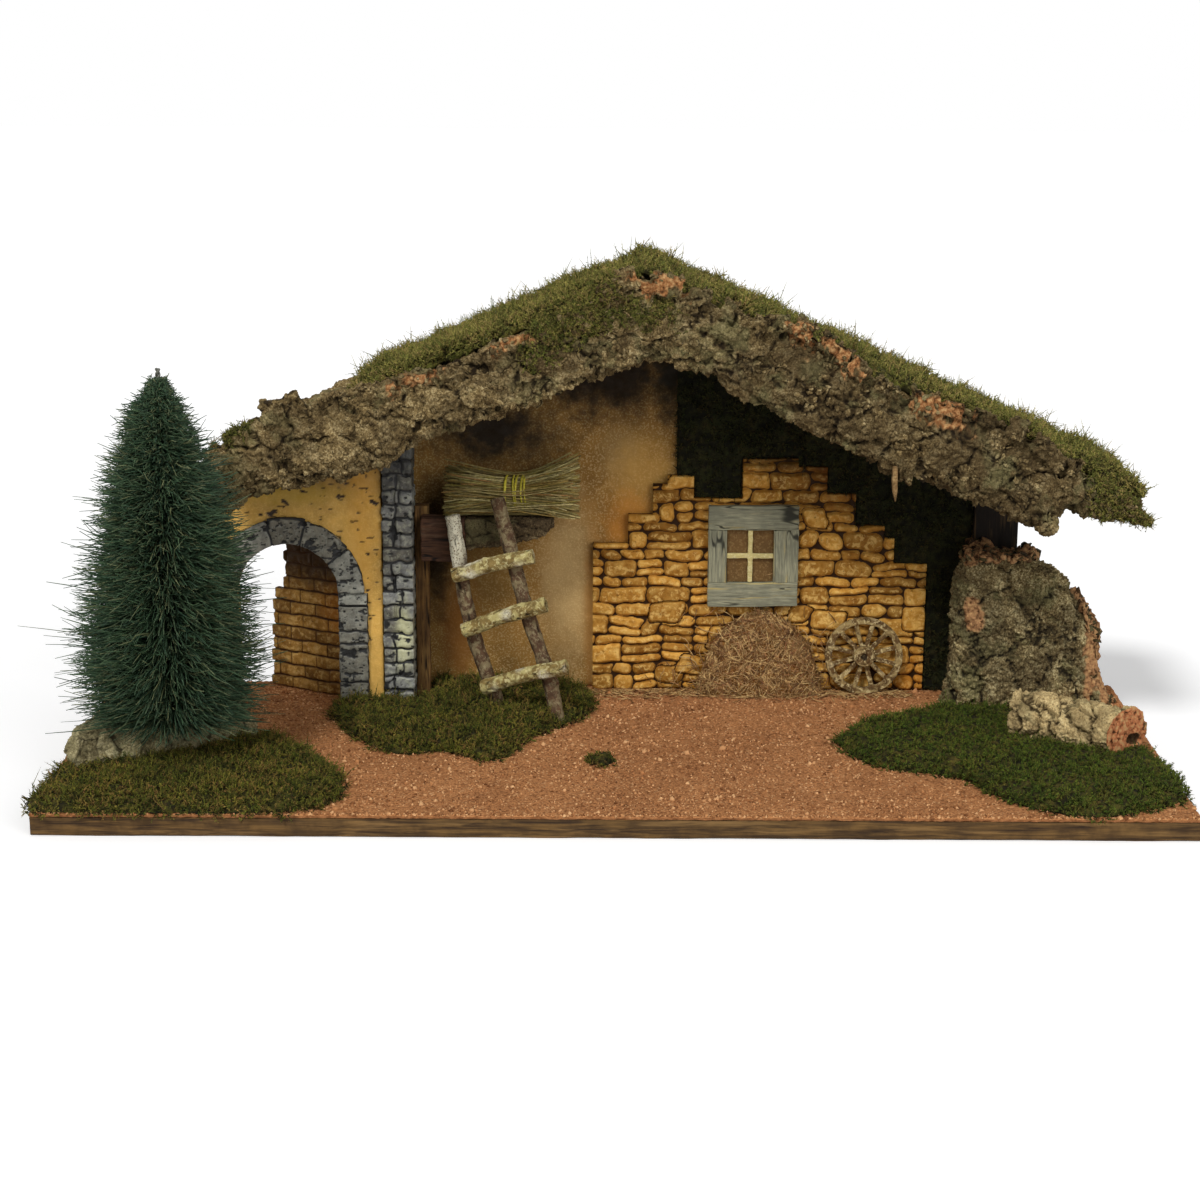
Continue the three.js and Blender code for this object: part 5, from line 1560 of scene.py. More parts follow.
@dataclass(frozen=True)
class Masonry:
    """How stones are laid in courses: heights, widths, roundness and unevenness."""

    heights: tuple[float, ...]
    widths: tuple[float, float]
    corner: float
    joint: float
    wobble: float
    split_share: float
    boulders: int
    seed: int
    boulder_widths: tuple[float, float] = (16.0, 27.0)
    boulder_heights: tuple[float, float] = (13.0, 19.0)
    split_height: float = 10.0

    def lay(self, across: Array, up: Array) -> tuple[Array, Array]:
        """Finds the stone at each place.

        Args:
            across: Distance along the wall.
            up: Height above its foot.

        Returns:
            How far inside its stone each place is, in millimetres, and the stone's own number.
        """
        draw = np.random.default_rng(self.seed)
        flat = np.stack([across, up, np.zeros_like(up)], axis=1)
        bent_x = across + self.wobble * noise(flat, 13, self.seed) + 0.45 * self.wobble * noise(
            flat, 4.5, self.seed + 1)
        bent_z = up + 0.8 * self.wobble * noise(flat, 15, self.seed + 2) + 0.3 * self.wobble * noise(
            flat, 4.5, self.seed + 3)
        deep = np.full(len(across), -1.0)
        number = np.zeros(len(across))
        bottom = 0.0
        course = 0
        left, right = across.min() - 4, across.max() + 4
        while bottom < up.max() + 4:
            height = self.heights[course % len(self.heights)]
            start = left - draw.uniform(0, self.widths[1])
            while start < right:
                width = draw.uniform(*self.widths)
                spans = [(bottom, height)]
                if height > self.split_height and draw.random() < self.split_share:
                    cut = height * draw.uniform(0.4, 0.6)
                    spans = [(bottom, cut), (bottom + cut, height - cut)]
                for foot, tall in spans:
                    self.set_stone(bent_x, bent_z, (start, foot, width, tall), draw, deep, number)
                start += width
            bottom += height
            course += 1
        for _ in range(self.boulders):
            width, tall = draw.uniform(*self.boulder_widths), draw.uniform(*self.boulder_heights)
            place = (draw.uniform(left, right), draw.uniform(0, up.max() - 14), width, tall)
            self.set_stone(bent_x, bent_z, place, draw, deep, number, True)
        return deep, number

    def set_stone(self, x: Array, z: Array, stone: tuple[float, float, float, float],
                  draw: np.random.Generator, deep: Array, number: Array, over: bool = False) -> None:
        """Adds one stone to the wall.

        Args:
            x: Distance along the wall of each place.
            z: Height of each place.
            stone: Its left end, foot, width and height.
            draw: The random draw.
            deep: How far inside a stone each place is, which is changed.
            number: The number of each place's stone, which is changed.
            over: Whether it takes its place from stones that are there.
        """
        start, foot, width, tall = stone
        own = draw.random()
        slant, tilt = draw.uniform(-0.22, 0.22), draw.uniform(-0.07, 0.07)
        corner = min(self.corner * draw.uniform(0.5, 1.5), 0.48 * width, 0.48 * tall)
        half_w, half_h = (width - self.joint) / 2, (tall - self.joint) / 2
        near = (np.abs(z - foot - tall / 2) < half_h + 3) & (np.abs(x - start - width / 2) < half_w + 4)
        if not near.any():
            return
        dx = x[near] - start - width / 2
        dz = z[near] - foot - tall / 2 - tilt * dx
        dx = dx - slant * dz
        qx = np.abs(dx) - half_w + corner
        qz = np.abs(dz) - half_h + corner
        inside = corner - np.hypot(np.maximum(qx, 0), np.maximum(qz, 0)) - np.minimum(
            np.maximum(qx, qz), 0)
        better = inside > (-1.2 * self.joint if over else deep[near])
        deep[near] = np.where(better, inside, deep[near])
        number[near] = np.where(better, own, number[near])


@dataclass
class StonePanel:
    """The moulded panel of rubble stones behind the window and the wheel."""

    pitch: float = 0.62
    relief: float = 2.6
    edge: float = 1.7

    @staticmethod
    def steps() -> tuple[Array, Array]:
        """Reads the panel's stepped outline from its solid.

        Returns:
            The X of each step's ends, and the height of the top between them.
        """
        points = corners_of("stone_panel")
        ends = np.unique(np.round(points[:, 0], 2))
        tops = []
        for left, right in zip(ends[:-1], ends[1:]):
            at_left = set(np.round(points[np.abs(points[:, 0] - left) < 0.02][:, 2], 1))
            at_right = set(np.round(points[np.abs(points[:, 0] - right) < 0.02][:, 2], 1))
            tops.append(max(at_left & at_right))
        return ends, np.array(tops)

    def build(self) -> None:
        """Builds the panel."""
        box = Box.of("stone_panel")
        ends, tops = self.steps()

        def inside(x: Array, z: Array) -> Array:
            """Says whether a place is on the panel."""
            step = np.clip(np.searchsorted(ends, x) - 1, 0, len(tops) - 1)
            return z < tops[step]

        skin = sheet_of(box.low[0], box.high[0], box.low[2], box.high[2], self.pitch, inside, box.size[1])
        stones = Masonry((12, 8, 13, 6, 14, 9, 12, 7), (12, 31), 3.6, 0.5, 1.9, 0.4, 11, 11)
        deep, number = stones.lay(skin.x - box.low[0], skin.z - box.low[2])
        crown = ease(0.0, self.edge, deep)
        rough = 0.55 * layered(skin.points, 8, 3, 4) + 0.4 * layered(skin.points, 2.4, 2, 5)
        height = self.relief * (crown * (0.8 + 0.35 * number) - 1) + crown * rough
        face = skin.values["rim"] < 0.5
        skin.points[:, 1] += box.low[1] - np.where(face, height, 0)
        open_air = 0.05 + 0.75 * ease(-0.2, 0.45, deep) + 0.2 * ease(0.4, 2.4, deep) + 0.1 * rough
        # Painted shade along the panel's edges: its side faces get a low value, which the finish turns to
        # the dark wash.
        skin.paint(cavity=np.where(face, np.clip(open_air, 0, 1), 0.3), tone=number, nick=0.0)
        finish = StoneFinish(
            "rubble_stone", *shades("a67028 cc9642 e4b662 2c1907 eec878"), 0.5,
            # The first two clouds are painted shade on the upper stones, under the roof.
            (Spot(170, 172, 60, 50, shade("542b0a"), 0.95),
             Spot(110, 184, 64, 20, shade("402a0f"), 0.88),
             Spot(-8, 160, 20, 40, shade("b47828"), 0.5),
             Spot(212, 20, 24, 30, shade("be761e"), 0.5)),
            0.12)
        add_piece("rubble_panel", skin, finish.make(), ["stone_panel"])


# Porch


@dataclass
class Porch:
    """The plastered front with its arch, the grey stones, the pillar and the brick wall."""

    wall_pitch: float = 0.9
    stone_pitch: float = 0.5
    ring_joints: tuple[float, ...] = (37.5, 75.0, 105.0, 142.5)
    jamb_joints: tuple[float, ...] = (16.0, 43.0, 52.0, 70.0)
    pillar_course: float = 10.0
    brick_length: float = 21.0
    brick_course: float = 9.0
    brick_corner: tuple[float, float] = (3.3, 5.2)

    def build(self) -> None:
        """Builds the porch."""
        self.add_wall()
        self.add_grey_stones()
        self.add_pillar()
        self.add_bricks()

    def add_wall(self) -> None:
        """Builds the yellow plaster front."""
        skin = resurfaced(["arch_wall"], self.wall_pitch, 2)
        skin.push(0.7 * layered(skin.points, 14, 3, 3) + 0.25 * layered(skin.points, 2.5, 2, 4))
        nicked(skin, 0.7, 3.4, 0.035, 15, (0.55, 1.0, 1.2))
        finish = PlasterFinish(
            "ochre_plaster", *shades("deae54 eec874"),
            # The first cloud is partly brown airbrushing and partly painted shade under the roof.
            (Spot(-200, 200, 120, 62, shade("54380c"), 0.97),
             Spot(-170, 150, 16, 90, shade("d89e3e"), 0.5),
             Spot(-221, 160, 60, 12, shade("be9e38"), 0.5)), 0.3, 0.45)
        add_piece("arch_wall_plaster", skin, finish.make(), ["arch_wall"])

    def add_grey_stones(self) -> None:
        """Builds the ring of the arch and its jambs."""
        finish = StoneFinish(
            "grey_stone", *shades("666863 8c8e86 a8a99e 10100e b0b2a4"), 0.2, (), 0.5).make()
        ring = Box.of("arch_ring")
        centre = np.array([ring.middle[0], 0.0, ring.low[2]])
        outer = ring.size[0] / 2
        inner = outer - Box.of("arch_jamb_right").size[0]
        for seed, node in enumerate(("arch_ring", "arch_jamb_left", "arch_jamb_right")):
            skin = resurfaced([node], self.stone_pitch, 2)
            bent = wander(skin.points, 5, 0.8, seed) - centre
            if node == "arch_ring":
                angle = np.degrees(np.arctan2(bent[:, 2], bent[:, 0]))
                spread = np.hypot(bent[:, 0], bent[:, 2])
                stone = np.searchsorted(self.ring_joints, angle)
                gap = np.radians(np.abs(angle[:, None] - np.array(self.ring_joints)).min(axis=1)) * spread
                rim = np.minimum(outer - spread, spread - inner)
            else:
                up = bent[:, 2] + centre[2] - GROUND
                stone = np.searchsorted(self.jamb_joints, up)
                gap = np.abs(up[:, None] - np.array(self.jamb_joints)).min(axis=1)
                box = Box.of(node)
                left = bent[:, 0] + centre[0]
                rim = np.minimum(left - box.low[0], box.high[0] - left)
            joint = 1 - ease(0.3, 1.3, gap)
            skin.push(0.6 * layered(skin.points, 6, 3, 30 + seed) - 0.6 * joint)
            edge = 1 - ease(0.4, 1.6, rim + 0.6)
            nicked(skin, 0.6, 4.0, 0.16, 33 + seed, (0.7, 1.0, 1.0))
            nicked(skin, 0.25, 1.5, 0.14, 36 + seed)
            number = lattice(np.stack([stone, stone, stone + seed], axis=1), 4)
            palest = (stone == len(self.jamb_joints)) & (node != "arch_ring")
            skin.paint(tone=np.where(palest, 1.0, number))
            skin.paint(cavity=np.clip(1 - np.maximum(joint, 0.9 * edge), 0, 1))
            add_piece(f"{node}_stones", skin, finish, [node])

    def add_pillar(self) -> None:
        """Builds the pillar of small blocks."""
        finish = StoneFinish(
            "quoin_stone", *shades("5c5e5e 808280 a0a29a 0c0c0a c4c6aa"), 0.3,
            (Spot(-143, 62, 9, 36, shade("cecc9e"), 0.75),
             # Painted shade at the top of the pillar, under the roof.
             Spot(-147, 208, 34, 68, shade("141413"), 0.97)), 0.5)
        skin = resurfaced(["stone_pillar"], 1.2 * self.stone_pitch, 1)
        box = Box.of("stone_pillar")
        bent = wander(skin.points, 5, 1.1, 9)
        up = bent[:, 2] - GROUND
        course = np.floor(up / self.pillar_course)
        edge_z = from_joint(up, self.pillar_course)
        own = thrice(course)
        split = box.low[0] + box.size[0] * (0.32 + 0.36 * lattice(own, 12))
        split = np.where(lattice(own, 13) < 0.3, box.low[0] - 50, split)
        side = (bent[:, 0] > split).astype(float)
        inside = np.minimum(np.minimum(edge_z, np.abs(bent[:, 0] - split)), bent[:, 0] - box.low[0] + 0.9)
        crown = ease(0.2, 2.0, inside)
        number = lattice(np.stack([course, side, side], axis=1), 8)
        nicked(skin, 0.5, 3.0, 0.12, 46)
        skin.push(1.1 * (crown - 1) + crown * (0.7 * layered(skin.points, 4, 3, 44) + 0.8 * (number - 0.5)))
        skin.paint(tone=number, cavity=np.clip(ease(0.3, 1.3, inside), 0, 1))
        add_piece("quoin_pillar", skin, finish.make(), ["stone_pillar"])

    def add_bricks(self) -> None:
        """Builds the brick wall behind the arch."""
        skin = resurfaced(["brick_side_wall"], 0.8, 1)
        box = Box.of("brick_side_wall")
        inner = Box.of("arch_wall").high[1]
        corner = np.array([box.high[0] - self.brick_corner[0], inner + self.brick_corner[1]])
        way = unit(np.append(corner - [box.low[0], box.high[1]], 0.0))
        along = (skin.points - np.array([box.low[0], box.high[1], 0])) @ way
        bent = wander(skin.points, 8, 0.9, 3)
        up = bent[:, 2] - GROUND
        course = np.floor(up / self.brick_course)
        offset = along + (course % 2) * self.brick_length / 2 + 3 * lattice(thrice(course), 3)
        brick = np.floor(offset / self.brick_length)
        inside = np.minimum(from_joint(up, self.brick_course), from_joint(offset, self.brick_length) + 0.4)
        number = lattice(np.stack([course, brick, brick], axis=1), 6)
        crown = ease(0.1, 1.5, inside)
        sandy = layered(skin.points, 2.4, 3, 9)
        skin.push(1.5 * (crown - 1) + crown * (0.7 * (number - 0.5) + 0.6 * sandy))
        skin.paint(cavity=np.clip(0.1 + 0.9 * crown + 0.2 * sandy, 0, 1), tone=number, nick=0.0)
        finish = StoneFinish(
            "brick_wall", *shades("88622a b08642 cea65e 3e260c debc76"), 0.45,
            # The first two clouds are painted shade on the top of the wall, under the roof.
            (Spot(-206, 128, 90, 46, shade("1c1207"), 0.97),
             Spot(-206, 110, 90, 26, shade("3c2810"), 0.85),
             Spot(-190, 74, 18, 26, shade("be7a28"), 0.5)), 0.2)
        add_piece("ragged_brick_wall", skin, finish.make(), ["brick_side_wall"])


# Window and wheel


@dataclass
class Window:
    """The window of weathered slats on the stone panel."""

    pitch: float = 0.6
    rounding: float = 0.7
    grain: float = 0.22

    def build(self) -> None:
        """Builds the slats, the bars and the pane."""
        slats = {"window_sill": Axis.X, "window_lintel": Axis.X, "window_stile_left": Axis.Z,
                 "window_stile_right": Axis.Z}
        finishes = {
            axis: WoodFinish(f"slate_grey_wood_{axis.name.lower()}", *shades("686858 9e9c80"), axis,
                             0.9, shade("bea65c"), 0.6).make()
            for axis in (Axis.X, Axis.Z)
        }
        for seed, (node, axis) in enumerate(slats.items()):
            box = Box.of(node)
            skin = planed(box, self.pitch, self.rounding)
            grained(skin, axis, self.grain, 60 + seed)
            skin.points[:, 2] += 0.5 * noise(skin.points * np.array([1, 0, 0]), 14, seed)
            add_piece(f"{node}_slat", skin, finishes[axis], [node])
        self.add_pane()

    @staticmethod
    def add_pane() -> None:
        """Builds the brown pane and the crossing bars."""
        pane = planed(Box.of("window_pane"), 0.6, 0.2)
        weave = np.sin(pane.x * WEAVE) * np.sin(pane.z * WEAVE)
        pane.push(0.1 * weave + 0.25 * layered(pane.points, 6, 2, 3))
        pane.paint(nick=0.0)
        finish = PlasterFinish("brown_pane", *shades("6e522e 94784c"), (), 0.4)
        add_piece("window_pane_cloth", pane, finish.make(), ["window_pane"])
        bars = resurfaced(["window_bars"], 0.4, 3)
        bars.push(0.35 * layered(bars.points, 3, 3, 5))
        bars.paint(nick=0.0)
        finish = PlasterFinish("cream_paint", *shades("cebe7e e4daae"), (), 0.4, 0.3)
        add_piece("window_cross_bars", bars, finish.make(), ["window_bars"])


@dataclass
class CartWheel:
    """The cart wheel leaning on the stone panel."""

    pitch: float = 0.42
    hub: float = 7.5
    hub_ring: float = 3.0
    hub_hole: float = 1.6

    def build(self) -> None:
        """Builds the wheel with worn edges and grain."""
        skin = resurfaced(["cart_wheel"], self.pitch, 3)
        middle = Box.of("cart_wheel").middle
        spread = np.hypot(skin.x - middle[0], skin.z - middle[2])
        grit = layered(skin.points, 2.2, 3, 4)
        rings = np.where(spread < self.hub, np.sin(2 * np.pi * spread / self.hub_ring), 0.0)
        hole = 1 - ease(self.hub_hole, self.hub_hole + 0.8, spread)
        skin.push(0.22 * grit + 0.35 * rings - 1.6 * hole)
        skin.paint(cavity=np.clip(0.75 + 0.5 * grit + 0.3 * np.minimum(rings, 0) - hole, 0, 1))
        skin.paint(pale=np.clip(0.2 + 0.25 * noise(skin.points, 5, 6), 0, 1))
        finish = BranchFinish("wheel_wood", *shades("644a2a 9c8658 d4c08c"), 0.6)
        add_piece("spoked_cart_wheel", skin, finish.make(), ["cart_wheel"])


# Loft


@dataclass
class Loft:
    """The loft: its post, beam and bark shelf, and the tied straw bundle on it."""

    straws: int = 760
    straw_radius: float = 0.42
    straw_points: int = 8
    left_flare: float = 10.0
    right_flare: float = 17.0
    tie_strands: int = 2
    tie_turns: int = 3
    tie_pitch: float = 6.0
    tie_steps: int = 24

    def build(self) -> None:
        """Builds the loft."""
        post = planed(Box.of("loft_post"), 0.9, 0.8)
        grained(post, Axis.Z, 0.4, 3)
        finish = WoodFinish("post_wood", *shades("3a2612 805e32"), Axis.Z, 1.0, shade("967644"), 0.4)
        add_piece("loft_post_wood", post, finish.make(), ["loft_post"])
        beam = planed(Box.of("loft_beam"), 0.9, 1.2)
        grained(beam, Axis.X, 0.45, 5)
        beam.push(0.8 * layered(beam.points, 7, 3, 2))
        finish = WoodFinish("beam_wood", *shades("2c1a10 5e402c"), Axis.X, 1.4, shade("786450"), 0.35)
        add_piece("loft_beam_wood", beam, finish.make(), ["loft_beam"])
        shelf = resurfaced(["loft_shelf"], 0.9, 3)
        BarkRelief(12, 1.6, 1.2, 0.8, 3.5, 0.8, 0.6, 21).carve(shelf)
        shelf_finish = BarkFinish("shelf_bark", *shades("3a2f22 60523c 8c7c5e"))
        add_piece("loft_shelf_bark", shelf, shelf_finish.make(), ["loft_shelf"])
        self.add_bundle()
        self.add_tie()

    def add_bundle(self) -> None:
        """Builds the straw bundle, drawn in at its tie and spreading at both ends."""
        box = Box.of("straw_bundle")
        tie = Box.of("straw_tie")
        draw = np.random.default_rng(31)
        count = round(self.straws * max(PLENTY, 0.6))
        middle = np.array([tie.middle[0], box.middle[1], tie.middle[2]])
        waist = tie.size[1] / 2 - 1.6
        ring = np.sqrt(draw.random(count))
        angle = draw.uniform(0, 2 * np.pi, count)
        left = box.low[0] + draw.uniform(-1, 12, count)
        right = box.high[0] - draw.uniform(-5, 12, count)
        spots = np.linspace(0, 1, self.straw_points)
        x = left[:, None] + (right - left)[:, None] * spots
        flare = np.where(x < middle[0], self.left_flare * ((middle[0] - x).clip(0) / 50) ** 1.4,
                         self.right_flare * ((x - middle[0]).clip(0) / 40) ** 1.3)
        radius = ring[:, None] * (waist + flare)
        bow = 2.2 * draw.normal(size=(count, 1)) * np.sin(np.pi * spots)
        y = middle[1] + radius * np.cos(angle)[:, None] * 0.95 + bow
        slant = draw.normal(0, 0.05, (2, count, 1)) * (x - middle[0])
        y += slant[0]
        lift = 0.04 * (x - middle[0]).clip(0)
        z = middle[2] + radius * np.sin(angle)[:, None] * 0.9 + lift + 0.7 * bow + slant[1]
        floor = Box.of("loft_shelf").high[2] + self.straw_radius
        z = np.maximum(z, floor + 0.8 * ring[:, None])
        paths = np.stack([x, y, z], axis=2)
        thick = self.straw_radius * draw.uniform(0.55, 1.25, (count, 1)) * np.ones(self.straw_points)
        skin = tubes(paths, thick, 4)
        finish = StrandFinish("hay", shades("685628 a49254 ccbc80 968a3c b88650"), shade("463818"), 0.2)
        add_piece("straw_bundle_stalks", skin, finish.make(), ["straw_bundle"])

    def add_tie(self) -> None:
        """Winds the yellow raffia round the bundle."""
        box = Box.of("straw_tie")
        steps = self.tie_steps * self.tie_turns + 1
        radius = box.size[1] / 2 - 0.9
        count = np.arange(steps) / self.tie_steps
        paths = []
        for strand in range(self.tie_strands):
            drift = 0.8 * np.sin(2 * np.pi * count * 0.7 + 2.5 * strand)
            x = box.middle[0] + self.tie_pitch * (count - self.tie_turns / 2) + 1.1 * (strand - 0.5) + drift
            x = x + 2.2 * np.cos(2 * np.pi * count)
            y = box.middle[1] + radius * np.cos(2 * np.pi * count)
            z = box.middle[2] + radius * np.sin(2 * np.pi * count)
            paths.append(np.stack([x, y, z], axis=1))
        skin = tubes(np.stack(paths), np.full((self.tie_strands, steps), 0.75), 6, 0.7)
        skin.paint(along=0.6 + 0.3 * noise(skin.points, 6, 2))
        finish = StrandFinish("yellow_raffia", shades("b0a01e d6c846"), shade("6e600e"), 0.3, 0.5)
        add_piece("raffia_tie", skin, finish.make(), ["straw_tie"])


# Ladder


@dataclass
class Ladder:
    """The ladder of branches."""

    pitch: float = 0.5
    rails: tuple[str, ...] = ("ladder_rail_left", "ladder_rail_right")
    rungs: tuple[str, ...] = ("ladder_rung_1", "ladder_rung_2", "ladder_rung_3")
    rail_height: float = 135.0

    def build(self) -> None:
        """Builds the rails and the rungs."""
        dark = BranchFinish("rail_bark", *shades("5e4632 7c6e50 aca07c"), 0.3).make()
        pale = BranchFinish("rung_bark", *shades("887242 b0a46c d6cc96"), 0.55).make()
        for seed, node in enumerate(self.rails):
            skin = self.branch(node, 70 + seed)
            height = (skin.z - GROUND) / self.rail_height
            reach = 0.62 if node.endswith("left") else 1.02
            skin.paint(pale=np.clip((height - reach) * 4 + 0.4 * noise(skin.points, 9, 3), 0, 1))
            add_piece(f"{node}_branch", skin, dark, [node])
        for seed, node in enumerate(self.rungs):
            skin = self.branch(node, 80 + seed)
            skin.paint(pale=np.clip(0.25 + 0.5 * noise(skin.points, 8, seed), 0, 1))
            add_piece(f"{node}_branch", skin, pale, [node])

    def branch(self, node: str, seed: int) -> Skin:
        """Covers a stick with bark, furrows and knots.

        Args:
            node: The stick's CAD node.
            seed: Which draw it is.

        Returns:
            The branch.
        """
        skin = resurfaced([node], self.pitch, 3)
        box = Box.of(node)
        way = unit(box.size)
        if node in self.rails:
            way[0] = -way[0]
        along = skin.points @ way
        across = skin.points - along[:, None] * way
        squeezed = across + 0.22 * along[:, None] * way
        furrow = layered(squeezed, 2.4, 3, seed)
        inside, number = cells(wander(skin.points, 6, 2, seed), 11, seed)
        knot = (number > 0.82) * ease(0.25, 0.6, inside)
        crust = layered(skin.points, 4.5, 2, seed + 5)
        skin.push(0.5 * furrow + 0.5 * crust + 0.9 * knot)
        skin.paint(cavity=np.clip(0.62 + 0.7 * furrow, 0, 1))
        return skin


# Straw heap


@dataclass
class StrawHeap:
    """The heap of chaff and straw under the window, and the bits that fell off it."""

    straws: int = 3400
    on_wall: int = 500
    strewn: int = 800
    lengths: tuple[float, float] = (3.0, 24.0)
    radii: tuple[float, float] = (0.22, 0.5)

    def build(self) -> None:
        """Builds the heap."""
        bed = resurfaced(["straw_heap"], 1.0, 3)
        bed.push(1.1 * layered(bed.points, 5, 3, 3))
        bed.paint(loose=0.0, tone=0.5 + 0.5 * noise(bed.points, 3, 2))
        chaff = GranuleFinish("chaff", *shades("5c3a1c 8c6236 be965e"))
        add_piece("straw_heap_chaff", bed, chaff.make(), ["straw_heap"])
        places, normals = scattered(bed, round(self.straws * PLENTY), 5,
                                    lambda p, n: (n[:, 1] < 0.2) | (n[:, 2] > 0.3))
        draw = np.random.default_rng(9)
        count = round(self.strewn * PLENTY)
        panel = Box.of("stone_panel")
        fallen = np.stack([
            draw.uniform(panel.low[0] - 6, panel.high[0] - 10, count),
            panel.low[1] - 2 - np.abs(draw.normal(0, 9, count)),
            np.full(count, GROUND + 0.9)], axis=1)
        heap = Box.of("straw_heap")
        stuck = round(self.on_wall * PLENTY)
        on_wall = np.stack([
            draw.normal(heap.middle[0], 0.3 * heap.size[0], stuck),
            np.full(stuck, panel.low[1] - 1.2),
            GROUND + np.abs(draw.normal(0, 0.42 * heap.size[2], stuck))], axis=1)
        places = np.concatenate([places, fallen, on_wall])
        normals = np.concatenate([normals, np.tile([0.0, 0.0, 1.0], (count, 1)),
                                  np.tile([0.0, -1.0, 0.0], (stuck, 1))])
        skin = self.lie(places, normals, draw)
        finish = StrandFinish("chopped_straw", shades("5c3a1a 986e3a d6b476 945c32"),
                              shade("54361a"), 0.25)
        add_piece("chopped_straw", skin, finish.make())

    def lie(self, places: Array, normals: Array, draw: np.random.Generator) -> Skin:
        """Lays short straws flat on a surface.

        Args:
            places: Where their middles lie.
            normals: The surface's outward directions there.
            draw: The random draw.

        Returns:
            The straws.
        """
        count = len(places)
        loose = draw.normal(size=(count, 3))
        flat = unit(loose - (loose * normals).sum(axis=1, keepdims=True) * normals)
        way = unit(flat + normals * draw.uniform(-0.12, 0.25, (count, 1)))
        length = draw.lognormal(2.1, 0.45, count).clip(*self.lengths)
        share = np.linspace(-0.5, 0.5, 4)
        side = np.cross(way, normals)
        bend = draw.normal(0, 0.12, count)
        paths = (places + normals * 0.5)[:, None] + length[:, None, None] * (
            way[:, None] * share[:, None] + side[:, None] * (bend[:, None] * share**2 * 4)[..., None])
        floor = GROUND + 0.3
        paths[..., 2] = np.maximum(paths[..., 2], floor)
        wall = Box.of("stone_panel").low[1] - 0.6
        paths[..., 1] = np.minimum(paths[..., 1], wall)
        radii = draw.uniform(*self.radii, (count, 1)) * np.ones(4)
        return tubes(paths, radii, 4, 0.7)


# Cork


@dataclass(frozen=True)
class Patch:
    """A place on the front of a cork piece, in X and Z, with its reach."""

    x: float
    z: float
    width: float
    height: float

    def cover(self, points: Array) -> Array:
        """Gives how far each point lies in the patch, from 0 to 1, with a ragged border."""
        spread = np.hypot((points[:, 0] - self.x) / self.width, (points[:, 2] - self.z) / self.height)
        return 1 - ease(0.7, 1.1, spread + 0.7 * layered(points, 6, 4, 6))


